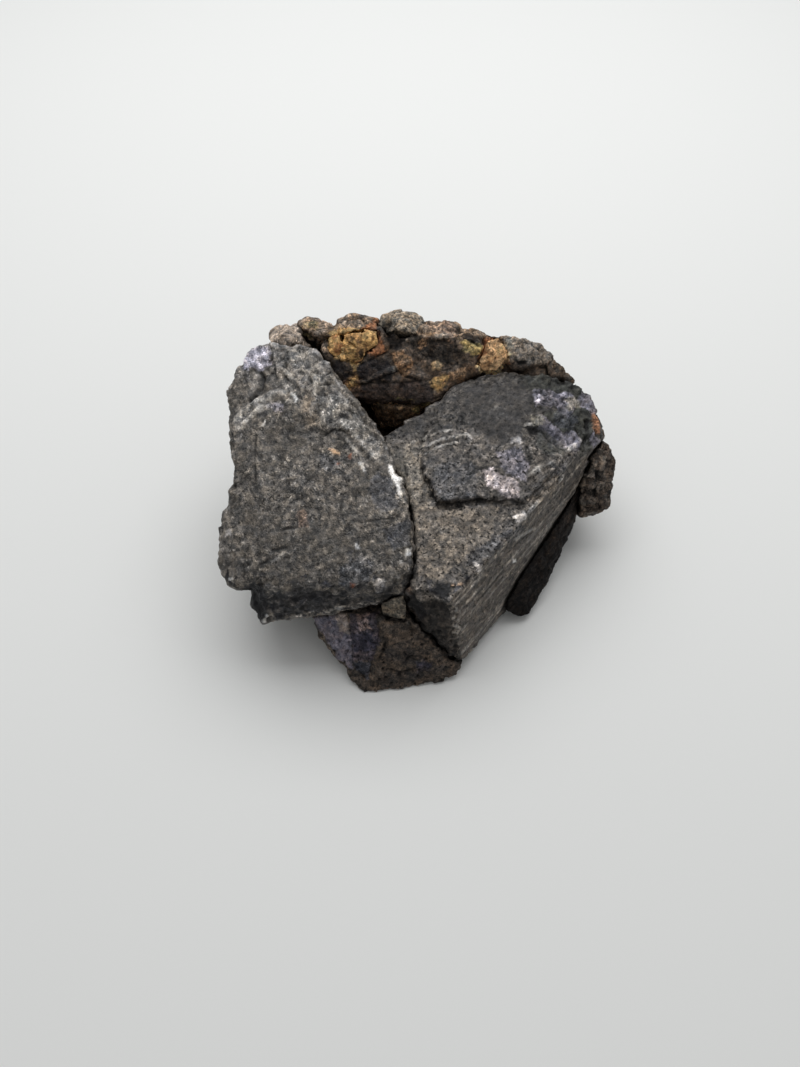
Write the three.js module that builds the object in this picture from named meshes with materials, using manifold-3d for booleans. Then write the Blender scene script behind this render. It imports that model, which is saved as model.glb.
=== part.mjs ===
// Galena hand specimen: intergrown cleavage crystals of lead sulphide on a
// rough matrix crust, with a hollow at the back that is stained by iron oxide.
// Units are millimetres. X runs along the long side, Y towards the crusted
// back, Z up. The origin is at the middle of the bounding box, on the base.
//
// Each crystal is the convex hull of its corner points; a few crystals are
// two or three such blocks joined. A crystal that grew against an older one is
// cut back from it, with a hairline gap left between the two bodies.
import * as THREE from 'three';
import { ConvexGeometry } from 'three/addons/geometries/ConvexGeometry.js';
import { mergeVertices } from 'three/addons/utils/BufferGeometryUtils.js';
import Module from 'manifold-3d';

// ---- driving dimensions (mm) ----------------------------------------------
const SPECIMEN_SCALE = 1.0;      // one factor on every corner point
const CRYSTAL_GAP = 0.3;         // hairline between neighbouring crystals
const BLANK_SIZE = 400;          // side of the blank a grown block is cut from


// ---- left_crystal ----------------------------------------------------------
const LEFT_CRYSTAL = [
  { name: 'top block', corners: [
    [-42.55, 13.88, 35.20], [-41.98, 8.92, 34.00], [-41.27, 4.45, 32.70],
    [-41.36, 16.15, 36.20], [-39.81, 20.35, 38.00], [-38.18, 23.08, 39.20],
    [-35.45, 22.89, 40.10], [-30.28, 21.60, 41.30], [-26.49, 20.38, 42.30],
    [-23.40, 18.36, 42.50], [-20.31, 14.44, 42.00], [-17.92, 10.05, 40.90],
    [-15.61, 6.70, 39.40], [-12.32, 3.56, 37.40], [-9.24, 0.61, 35.50],
    [-35.27, 3.11, 34.21], [-26.49, 3.97, 35.42], [-17.10, 2.83, 35.77],
    [-38.12, 19.21, 5.00], [-23.00, 21.12, 5.00], [-12.58, 18.38, 6.00],
    [-32.75, 13.90, 17.00], [-16.75, 13.90, 16.00], [-33.75, 19.90, 30.00],
    [-17.75, 17.90, 30.00],
  ] },
  { name: 'middle block', corners: [
    [-41.98, 8.92, 34.00], [-41.20, 2.84, 32.00], [-39.87, -6.37, 28.80],
    [-35.27, 3.11, 34.21], [-26.49, 3.97, 35.42], [-17.10, 2.83, 35.77],
    [-9.24, 0.70, 35.40], [-8.60, -5.63, 33.12], [-6.36, -7.85, 32.00],
    [-5.55, -8.25, 31.20], [-35.02, -8.20, 29.81], [-26.12, -9.05, 30.24],
    [-7.77, -9.99, 31.45], [-39.66, 17.90, 3.50], [-37.59, 23.25, 4.00],
    [-23.19, 23.90, 4.00], [-11.88, 17.50, 4.00], [-9.32, 7.52, 5.00],
    [-39.28, 7.54, 3.00], [-29.28, 2.38, 4.00],
  ] },
  { name: 'lower block with the long cleavage face', corners: [
    [-40.02, -4.68, 29.00], [-41.28, -9.88, 26.60], [-42.29, -12.95, 25.20],
    [-42.82, -16.85, 23.60], [-42.94, -20.43, 21.60], [-42.39, -22.43, 19.80],
    [-40.76, -24.92, 18.00], [-37.50, -25.40, 17.60], [-35.10, -6.22, 30.60],
    [-35.79, -14.43, 27.25], [-35.88, -22.12, 24.17], [-34.52, -25.59, 22.90],
    [-5.75, -8.01, 32.20], [-3.95, -15.92, 29.30], [-3.78, -25.80, 25.47],
    [-19.61, -28.36, 22.86], [-5.34, -6.54, 31.00], [-3.31, -13.18, 27.60],
    [-3.03, -19.17, 25.20], [-3.35, -24.94, 23.00], [-38.13, -8.87, 4.00],
    [-39.35, 13.62, 3.00], [-7.98, -14.18, 6.00], [-9.37, 13.58, 5.00],
    [-27.81, -17.57, 6.00], [-39.64, 19.84, 5.00],
  ] },
  { name: 'front corner with its bevel', corners: [
    [-36.83, -24.43, 17.20], [-36.55, -27.07, 14.40], [-34.94, -29.73, 12.20],
    [-33.89, -29.79, 12.30], [-26.33, -29.57, 13.60], [-16.99, -28.84, 15.60],
    [-8.80, -28.12, 17.40], [-5.35, -27.19, 19.00], [-3.33, -25.18, 21.50],
    [-33.09, -26.86, 22.30], [-32.74, -29.43, 15.20], [-25.62, -27.74, 22.59],
    [-15.64, -27.66, 23.60], [-5.75, -26.46, 25.04], [-3.57, -23.40, 26.13],
    [-25.96, -28.83, 18.20], [-15.78, -28.50, 20.00], [-7.34, -27.96, 22.20],
    [-35.91, -20.64, 6.00], [-27.67, -19.62, 6.00], [-9.05, -17.41, 7.00],
    [-37.03, -9.53, 5.00], [-6.86, -11.50, 8.00],
  ] },
];

// ---- right_crystal ---------------------------------------------------------
const RIGHT_CRYSTAL = [
  { name: 'main block: level cleavage face, long bevel, front point and flat base', corners: [
    [-9.38, 5.73, 29.65], [-6.59, -1.93, 27.92], [-4.93, -13.18, 25.51],
    [-4.14, -21.81, 23.70], [-3.76, -26.63, 22.69], [3.77, -29.89, 21.56],
    [6.63, -27.32, 21.91], [14.69, -17.91, 23.34], [21.34, -9.92, 24.57],
    [31.42, 3.01, 26.60], [3.01, 15.37, 30.87], [10.91, 21.33, 31.60],
    [5.22, -33.75, 4.99], [4.76, -34.30, 5.60], [7.37, -34.19, 4.00],
    [15.43, -22.52, 4.90], [22.79, -12.28, 10.79], [29.52, -2.83, 16.47],
    [36.56, 6.42, 20.46], [-4.74, -28.36, 18.60], [-1.64, -30.34, 13.50],
    [6.25, -22.10, 0.00], [21.25, -16.10, 0.00], [27.25, -2.10, 0.00],
    [28.25, 15.90, 0.00], [6.25, 19.90, 0.00], [-9.75, 13.90, 0.00],
    [-11.75, -6.10, 0.00], [-3.75, -20.10, 0.60],
  ] },
  { name: 'upper layer that ends in the ledge', corners: [
    [-1.71, 2.75, 28.88], [-0.73, -2.60, 28.75], [0.05, -6.75, 27.95],
    [1.87, -9.83, 27.21], [8.72, -9.11, 26.94], [14.99, -8.56, 26.57],
    [20.52, -8.00, 25.83], [28.28, 0.72, 27.34], [3.21, 15.38, 31.16],
    [5.23, 18.00, 31.88], [10.61, 20.77, 32.32], [15.93, 14.05, 32.26],
    [24.73, 14.64, 31.63], [19.77, 4.52, 30.07], [9.26, 8.17, 30.75],
    [17.53, 22.19, 32.60], [25.42, 22.05, 31.50], [32.59, 22.99, 29.00],
    [36.82, 21.51, 27.00], [38.49, 18.10, 25.40], [39.03, 13.88, 24.40],
    [39.62, 11.26, 23.00], [35.93, 6.33, 24.00], [6.25, -14.10, 6.00],
    [28.25, -2.10, 6.00], [30.25, 11.90, 6.00], [8.25, 21.90, 6.00],
    [0.25, 11.90, 8.00],
  ] },
];

// ---- lower_crystal ---------------------------------------------------------
const LOWER_CRYSTAL = [
  { name: 'front crystal under the other two', corners: [
    [-24.49, -26.72, 9.20], [-17.19, -27.70, 12.60], [-23.25, -29.31, 5.60],
    [-17.51, -33.51, 2.20], [-15.84, -33.93, 5.80], [-16.65, -35.14, 1.20],
    [-10.24, -30.85, 14.40], [-15.10, -37.84, 0.50], [-13.81, -39.27, 0.10],
    [-11.05, -39.68, 0.00], [-7.45, -38.64, 0.00], [-3.20, -37.88, 0.10],
    [-11.88, -39.18, 0.90], [-1.50, -37.10, 0.90], [6.40, -36.40, 0.90],
    [7.19, -34.35, 3.40], [5.18, -34.30, 5.60], [-3.71, -31.20, 14.20],
    [-8.60, -30.71, 15.40], [0.90, -32.42, 9.60], [-18.51, -23.32, 10.50],
    [-9.94, -24.80, 13.00], [-19.75, -22.10, 0.60], [-15.75, -28.10, 0.00],
    [2.25, -26.10, 0.00], [6.25, -30.10, 0.20], [-5.75, -18.10, 3.00],
    [-17.75, -18.10, 8.00], [-3.75, -18.10, 10.00],
  ] },
];

// ---- step_crystal ----------------------------------------------------------
const STEP_CRYSTAL = [
  { name: 'small step in the re-entrant corner', corners: [
    [-9.60, -28.48, 18.00], [-7.97, -28.14, 19.40], [-4.94, -28.14, 19.40],
    [-4.54, -28.95, 18.80], [-4.73, -30.60, 15.20], [-9.02, -30.13, 15.00],
    [-9.25, -20.10, 12.50], [-4.55, -20.10, 12.50], [-4.55, -22.10, 19.00],
    [-9.25, -22.10, 19.00],
  ] },
];

// ---- wedge_crystal ---------------------------------------------------------
const WEDGE_CRYSTAL = [
  { name: 'wedge under the long bevel', corners: [
    [15.92, -21.57, 5.00], [18.51, -21.93, 3.00], [20.83, -22.39, 1.60],
    [22.67, -21.63, 1.60], [25.70, -17.15, 3.60], [30.39, -9.38, 6.00],
    [33.22, -3.32, 8.00], [34.61, -0.82, 9.60], [35.93, 5.25, 15.50],
    [32.76, 1.58, 15.80], [26.18, -5.83, 14.60], [19.20, -16.06, 11.00],
    [15.96, -20.58, 7.60], [19.25, -18.10, 0.40], [30.25, -2.10, 1.00],
    [24.25, -2.10, 0.00], [27.25, 5.90, 8.00], [16.25, -15.10, 2.00],
  ] },
];

// ---- corner_crystal --------------------------------------------------------
const CORNER_CRYSTAL = [
  { name: 'blunt corner at the right', corners: [
    [34.86, -0.96, 9.40], [38.84, -0.56, 10.40], [41.22, 0.25, 11.60],
    [41.61, 4.91, 15.20], [42.42, 5.97, 16.40], [42.95, 8.29, 18.20],
    [42.04, 10.55, 20.40], [39.56, 11.63, 22.40], [36.00, 9.32, 23.20],
    [33.69, 5.72, 18.50], [33.92, 1.61, 12.80], [37.46, 4.34, 20.20],
    [38.24, 0.40, 14.40], [36.25, 11.90, 6.00], [30.25, 13.90, 5.00],
    [40.25, 9.90, 10.00], [38.25, 15.90, 16.00], [32.25, 17.90, 18.00],
  ] },
];

// ---- rim_crystal -----------------------------------------------------------
const RIM_CRYSTAL = [
  { name: 'rounded crystal on the middle of the rim', corners: [
    [-10.59, 29.26, 39.60], [-9.97, 32.82, 39.60], [-5.97, 34.24, 39.80],
    [-2.85, 33.81, 39.60], [-0.64, 32.40, 39.40], [-0.03, 29.48, 39.40],
    [-1.85, 25.61, 40.60], [-8.35, 26.02, 40.80], [-7.50, 29.59, 41.30],
    [-3.35, 29.71, 41.20], [-5.32, 25.95, 42.00], [-11.15, 31.70, 33.50],
    [-9.25, 33.80, 33.20], [-5.25, 34.80, 32.80], [-1.45, 34.10, 33.20],
    [-0.15, 31.70, 34.00], [-10.25, 28.90, 34.00], [-1.75, 28.40, 34.00],
    [-5.75, 31.90, 30.50],
  ] },
];

// ---- corner_cube -----------------------------------------------------------
const CORNER_CUBE = [
  { name: 'small cube at the left end of the rim', corners: [
    [-34.30, 26.04, 37.60], [-33.69, 29.12, 37.40], [-33.47, 31.61, 37.20],
    [-28.39, 30.92, 38.40], [-26.97, 27.66, 39.60], [-27.32, 23.46, 40.00],
    [-30.37, 23.27, 39.60], [-31.10, 25.52, 40.40], [-32.75, 29.90, 30.00],
    [-25.75, 30.90, 30.00], [-31.75, 25.90, 29.00], [-24.75, 25.90, 30.00],
  ] },
];

// ---- ochre_left ------------------------------------------------------------
const OCHRE_LEFT = [
  { name: 'flake, left', corners: [
    [-21.18, 25.45, 39.60], [-18.76, 25.83, 40.40], [-18.18, 23.44, 37.40],
    [-19.71, 22.42, 36.60], [-21.17, 22.81, 38.00], [-19.75, 23.48, 38.88],
    [-21.23, 27.20, 37.71], [-19.05, 27.54, 38.43], [-18.53, 25.39, 35.73],
    [-19.91, 24.47, 35.01], [-21.21, 24.82, 36.27],
  ] },
  { name: 'flake, middle', corners: [
    [-18.11, 25.83, 40.40], [-13.98, 26.12, 41.00], [-12.71, 24.34, 38.60],
    [-13.17, 22.83, 36.80], [-15.61, 21.09, 34.60], [-17.35, 22.22, 35.60],
    [-18.40, 23.85, 37.60], [-15.58, 23.10, 38.42], [-18.00, 27.66, 38.22],
    [-14.28, 27.91, 38.76], [-13.14, 26.32, 36.60], [-13.55, 24.96, 34.98],
    [-15.75, 23.39, 33.00], [-17.32, 24.41, 33.90], [-18.26, 25.87, 35.70],
  ] },
  { name: 'flake, right', corners: [
    [-13.55, 26.43, 41.00], [-10.73, 26.12, 41.00], [-10.53, 24.13, 38.80],
    [-12.73, 23.44, 37.40], [-13.79, 24.63, 39.20], [-12.24, 24.36, 40.02],
    [-13.51, 28.19, 39.08], [-10.97, 27.91, 39.08], [-10.79, 26.12, 37.10],
    [-12.77, 25.50, 35.84], [-13.72, 26.57, 37.46],
  ] },
];

// ---- ochre_right -----------------------------------------------------------
const OCHRE_RIGHT = [
  { name: 'iron-oxide lump', corners: [
    [13.01, 25.28, 38.60], [15.74, 26.76, 38.40], [18.05, 25.33, 36.20],
    [18.31, 24.08, 35.00], [15.95, 22.40, 33.00], [12.81, 21.89, 33.20],
    [11.46, 22.73, 34.20], [12.70, 24.08, 36.20], [14.65, 23.35, 36.29],
    [13.49, 27.32, 36.24], [15.95, 28.64, 36.06], [18.03, 27.36, 34.08],
    [18.26, 26.24, 33.00], [16.14, 24.73, 31.20], [13.31, 24.27, 31.38],
    [12.09, 25.02, 32.28], [13.21, 26.24, 34.08],
  ] },
];

// ---- ochre_edge ------------------------------------------------------------
const OCHRE_EDGE = [
  { name: 'iron-oxide edge', corners: [
    [38.53, 17.31, 24.60], [39.57, 15.74, 24.00], [40.09, 13.45, 23.20],
    [40.61, 12.55, 22.20], [39.13, 11.78, 22.40], [37.69, 12.80, 23.60],
    [37.59, 15.19, 24.60], [38.90, 13.73, 23.95], [39.28, 19.08, 21.16],
    [40.21, 17.66, 20.62], [40.68, 15.60, 19.90], [41.15, 14.79, 19.00],
    [39.81, 14.10, 19.18], [38.52, 15.02, 20.26], [38.43, 17.17, 21.16],
  ] },
];

// ---- cavity_crystal --------------------------------------------------------
const CAVITY_CRYSTAL = [
  { name: 'crystal down inside the hollow', corners: [
    [-12.06, 18.90, 26.50], [-0.12, 18.90, 26.50], [-1.24, 17.25, 25.00],
    [-6.67, 17.24, 21.00], [-10.78, 19.10, 23.00], [-6.20, 16.42, 27.20],
    [-9.75, 23.90, 12.00], [-1.75, 23.90, 12.00], [0.25, 25.90, 20.00],
    [-11.75, 25.90, 20.00],
  ] },
];

// ---- matrix_crust ----------------------------------------------------------
const MATRIX_CRUST = [
  { name: 'foot behind and under the left crystal', corners: [
    [-36.75, 23.90, 20.00], [-38.75, 15.90, 8.00], [-35.75, 9.90, 1.50],
    [-25.75, -0.10, 0.30], [-11.75, -0.10, 0.30], [-29.75, 29.90, 26.00],
    [-15.75, 35.90, 26.00], [-17.75, 35.90, 6.00], [-27.75, 32.90, 4.00],
    [-29.75, 29.90, 0.30], [-13.75, 33.90, 0.30], [-9.75, 29.90, 18.00],
    [-3.75, 15.90, 0.30], [-3.75, 29.90, 0.30], [-13.75, 15.90, 15.00],
  ] },
  { name: 'floor of the hollow', corners: [
    [-17.75, 7.90, 3.00], [-17.75, 29.90, 3.00], [8.25, 29.90, 3.00],
    [8.25, 9.90, 3.00], [-17.75, 11.90, 11.00], [-17.75, 29.90, 14.00],
    [8.25, 29.90, 14.00], [8.25, 15.90, 12.00], [-5.75, 5.90, 9.00],
  ] },
  { name: 'back wall of the hollow', corners: [
    [-22.69, 22.81, 38.00], [-20.95, 25.64, 40.00], [-16.62, 26.87, 40.60],
    [-9.01, 26.65, 40.80], [-1.41, 26.15, 40.40], [6.23, 26.08, 39.60],
    [11.72, 25.59, 38.60], [16.28, 24.92, 36.00], [-18.94, 19.94, 33.00],
    [-16.37, 17.17, 29.60], [-11.07, 17.14, 29.00], [-3.53, 17.14, 29.00],
    [1.33, 16.23, 29.00], [4.86, 19.27, 31.20], [10.84, 21.15, 32.40],
    [-5.75, 22.39, 32.40], [-21.26, 29.75, 38.00], [-5.75, 30.80, 38.80],
    [9.77, 29.12, 37.40], [-19.75, 35.90, 20.00], [12.25, 37.90, 20.00],
    [-15.75, 31.90, 12.00], [8.25, 31.90, 12.00], [-21.75, 29.90, 28.00],
  ] },
  { name: 'back body down to the base', corners: [
    [-30.10, 29.43, 38.00], [-21.25, 30.37, 38.60], [-5.75, 32.32, 38.60],
    [7.55, 29.65, 37.80], [17.57, 28.82, 36.80], [25.70, 29.05, 34.20],
    [29.38, 27.61, 31.00], [33.31, 23.98, 28.00], [-28.75, 29.90, 27.00],
    [-17.75, 37.20, 29.00], [-3.75, 39.65, 28.00], [8.25, 38.80, 28.00],
    [20.25, 35.40, 24.00], [-23.75, 35.90, 14.00], [-17.75, 36.90, 3.00],
    [-5.75, 37.90, 0.00], [14.25, 37.90, 0.00], [26.25, 32.90, 1.50],
    [32.25, 27.90, 10.00], [34.25, 25.90, 22.00], [-19.75, 27.90, 0.00],
    [-5.75, 23.90, 0.00], [20.25, 23.90, 0.00], [28.25, 21.90, 3.00],
    [2.25, 21.90, 14.00], [20.25, 23.90, 22.00], [-13.75, 27.90, 24.00],
    [9.93, 27.66, 34.00], [17.80, 24.55, 31.50], [25.76, 23.98, 30.20],
  ] },
  { name: 'shoulder of the rim', corners: [
    [17.25, 28.16, 37.40], [20.85, 28.44, 37.00], [25.61, 28.89, 34.80],
    [28.54, 28.18, 32.60], [29.20, 26.67, 31.60], [23.16, 24.07, 33.20],
    [18.92, 23.04, 34.80], [17.11, 24.91, 36.60], [23.02, 25.55, 35.40],
    [16.25, 33.90, 26.00], [28.25, 29.90, 24.00], [24.25, 25.90, 22.00],
    [12.25, 29.90, 24.00],
  ] },
  { name: 'small ledge block on the rim', corners: [
    [27.02, 25.62, 32.00], [29.38, 26.46, 31.80], [31.66, 24.73, 30.40],
    [32.87, 23.18, 28.80], [28.35, 22.62, 30.00], [30.25, 23.90, 22.00],
    [34.25, 23.90, 20.00], [30.25, 27.90, 22.00], [27.25, 25.90, 24.00],
  ] },
  { name: 'rim knob, left', corners: [
    [-28.30, 30.15, 38.80], [-26.82, 31.38, 39.00], [-24.63, 32.03, 39.00],
    [-21.91, 30.90, 39.00], [-19.85, 29.28, 39.00], [-20.93, 25.33, 40.00],
    [-25.35, 26.59, 40.00], [-23.84, 28.27, 40.26], [-28.38, 35.96, 29.55],
    [-27.11, 37.01, 29.72], [-25.26, 37.57, 29.72], [-22.94, 36.60, 29.72],
    [-21.19, 35.23, 29.72], [-22.11, 31.87, 30.57], [-25.86, 32.94, 30.57],
  ] },
  { name: 'rim knob, middle', corners: [
    [-20.29, 29.38, 39.20], [-18.61, 31.65, 39.20], [-15.31, 32.62, 39.20],
    [-12.84, 31.32, 39.20], [-10.38, 29.38, 39.20], [-11.82, 25.83, 40.40],
    [-17.69, 26.15, 40.40], [-15.19, 28.14, 40.74], [-19.91, 35.35, 29.92],
    [-18.49, 37.27, 29.92], [-15.68, 38.11, 29.92], [-13.58, 37.00, 29.92],
    [-11.49, 35.35, 29.92], [-12.72, 32.33, 30.94], [-17.71, 32.60, 30.94],
  ] },
  { name: 'rim knob, right', corners: [
    [-0.45, 29.93, 39.00], [1.34, 30.90, 39.00], [3.12, 31.22, 39.00],
    [5.75, 30.05, 38.60], [7.94, 28.89, 38.20], [6.22, 25.67, 39.40],
    [0.76, 25.64, 40.00], [3.46, 27.79, 40.03], [0.47, 34.96, 30.32],
    [1.99, 35.79, 30.32], [3.50, 36.06, 30.32], [5.74, 35.07, 29.98],
    [7.60, 34.08, 29.64], [6.14, 31.35, 30.66], [1.50, 31.32, 31.17],
  ] },
  { name: 'rim knob, far right', corners: [
    [7.05, 28.57, 38.20], [9.74, 29.27, 38.00], [11.96, 28.74, 37.60],
    [12.78, 27.63, 37.60], [9.56, 25.81, 38.40], [10.12, 27.12, 38.77],
    [8.00, 32.89, 31.13], [10.29, 33.49, 30.96], [12.17, 33.05, 30.62],
    [12.87, 32.10, 30.62], [10.13, 30.55, 31.30],
  ] },
];

// ---- tools ----------------------------------------------------------------
const wasm = await Module();
wasm.setup();

function toSolid(geometry) {
  const g = geometry.clone();
  g.deleteAttribute('normal');
  g.deleteAttribute('uv');
  const m = mergeVertices(g, 1e-4);
  const index = m.index.array;
  return new wasm.Manifold(new wasm.Mesh({
    numProp: 3,
    vertProperties: new Float32Array(m.attributes.position.array),
    triVerts: new Uint32Array(index),
  }));
}

function toGeometry(solid) {
  const mesh = solid.getMesh();
  const g = new THREE.BufferGeometry();
  const count = mesh.vertProperties.length / mesh.numProp;
  const position = new Float32Array(count * 3);
  for (let i = 0; i < count; i += 1) {
    for (let k = 0; k < 3; k += 1) position[3 * i + k] = mesh.vertProperties[mesh.numProp * i + k];
  }
  g.setAttribute('position', new THREE.BufferAttribute(position, 3));
  g.setIndex(new THREE.BufferAttribute(new Uint32Array(mesh.triVerts), 1));
  g.computeVertexNormals();
  return g;
}

const corners = (block) => block.corners.map(
  ([x, y, z]) => new THREE.Vector3(x, y, z).multiplyScalar(SPECIMEN_SCALE));

// One crystal block: the hull of its corner points.
const blockSolid = (block) => toSolid(new ConvexGeometry(corners(block)));

// The same block with each face moved out by the gap, cut from a blank.
function grownSolid(block, gap) {
  const hull = new ConvexGeometry(corners(block)).attributes.position;
  const seen = new Set();
  let solid = toSolid(new THREE.BoxGeometry(BLANK_SIZE, BLANK_SIZE, BLANK_SIZE));
  const a = new THREE.Vector3();
  const b = new THREE.Vector3();
  const c = new THREE.Vector3();
  const face = new THREE.Plane();
  for (let i = 0; i < hull.count; i += 3) {
    a.fromBufferAttribute(hull, i);
    b.fromBufferAttribute(hull, i + 1);
    c.fromBufferAttribute(hull, i + 2);
    if (new THREE.Triangle(a, b, c).getArea() < 1e-4) continue;
    face.setFromCoplanarPoints(a, b, c);
    const n = face.normal;
    const key = [n.x, n.y, n.z, face.constant / 10].map((v) => v.toFixed(3)).join();
    if (seen.has(key)) continue;
    seen.add(key);
    solid = solid.trimByPlane([-n.x, -n.y, -n.z], face.constant - gap);
  }
  return solid;
}

// Keep the one largest body when a cut leaves chips behind.
function largestBody(solid) {
  return solid.decompose().sort((p, q) => q.volume() - p.volume())[0];
}

function crystal(blocks, neighbours) {
  let solid = blocks.map(blockSolid).reduce((p, q) => p.add(q));
  for (const block of neighbours.flat()) {
    solid = solid.subtract(grownSolid(block, CRYSTAL_GAP));
  }
  return largestBody(solid);
}

const specimen = new THREE.Group();
specimen.name = 'galena_specimen';

function addNode(name, solid, colour, roughness, metalness) {
  const mesh = new THREE.Mesh(toGeometry(solid), new THREE.MeshStandardMaterial({
    name, color: colour, roughness, metalness, flatShading: true,
  }));
  mesh.name = name;
  specimen.add(mesh);
}

// ---- assembly -------------------------------------------------------------
addNode('left_crystal', crystal(LEFT_CRYSTAL, []), '#6f6a64', 0.42, 0.75);
addNode('right_crystal', crystal(RIGHT_CRYSTAL, [LEFT_CRYSTAL]), '#77716a', 0.42, 0.75);
addNode('lower_crystal', crystal(LOWER_CRYSTAL, [
  LEFT_CRYSTAL, RIGHT_CRYSTAL,
]), '#5d534b', 0.48, 0.65);
addNode('step_crystal', crystal(STEP_CRYSTAL, [
  LEFT_CRYSTAL, RIGHT_CRYSTAL, LOWER_CRYSTAL,
]), '#5f554d', 0.5, 0.6);
addNode('wedge_crystal', crystal(WEDGE_CRYSTAL, [
  RIGHT_CRYSTAL, LOWER_CRYSTAL,
]), '#3f3934', 0.5, 0.6);
addNode('corner_crystal', crystal(CORNER_CRYSTAL, [
  RIGHT_CRYSTAL, WEDGE_CRYSTAL,
]), '#6a5846', 0.65, 0.35);
addNode('rim_crystal', crystal(RIM_CRYSTAL, []), '#7d7972', 0.6, 0.4);
addNode('corner_cube', crystal(CORNER_CUBE, [LEFT_CRYSTAL]), '#857f78', 0.5, 0.5);
addNode('ochre_left', crystal(OCHRE_LEFT, [
  LEFT_CRYSTAL, RIM_CRYSTAL,
]), '#b9852f', 0.9, 0.0);
addNode('ochre_right', crystal(OCHRE_RIGHT, [RIGHT_CRYSTAL]), '#b5762d', 0.9, 0.0);
addNode('ochre_edge', crystal(OCHRE_EDGE, [
  RIGHT_CRYSTAL, CORNER_CRYSTAL,
]), '#ac6a26', 0.9, 0.0);
addNode('cavity_crystal', crystal(CAVITY_CRYSTAL, [
  LEFT_CRYSTAL, RIGHT_CRYSTAL,
]), '#3a332c', 0.6, 0.4);
addNode('matrix_crust', crystal(MATRIX_CRUST, [
  LEFT_CRYSTAL, RIGHT_CRYSTAL, LOWER_CRYSTAL, WEDGE_CRYSTAL,
  CORNER_CRYSTAL, RIM_CRYSTAL, CORNER_CUBE, OCHRE_LEFT,
  OCHRE_RIGHT, OCHRE_EDGE, CAVITY_CRYSTAL,
]), '#4f453b', 0.85, 0.1);

export default specimen;
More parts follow.
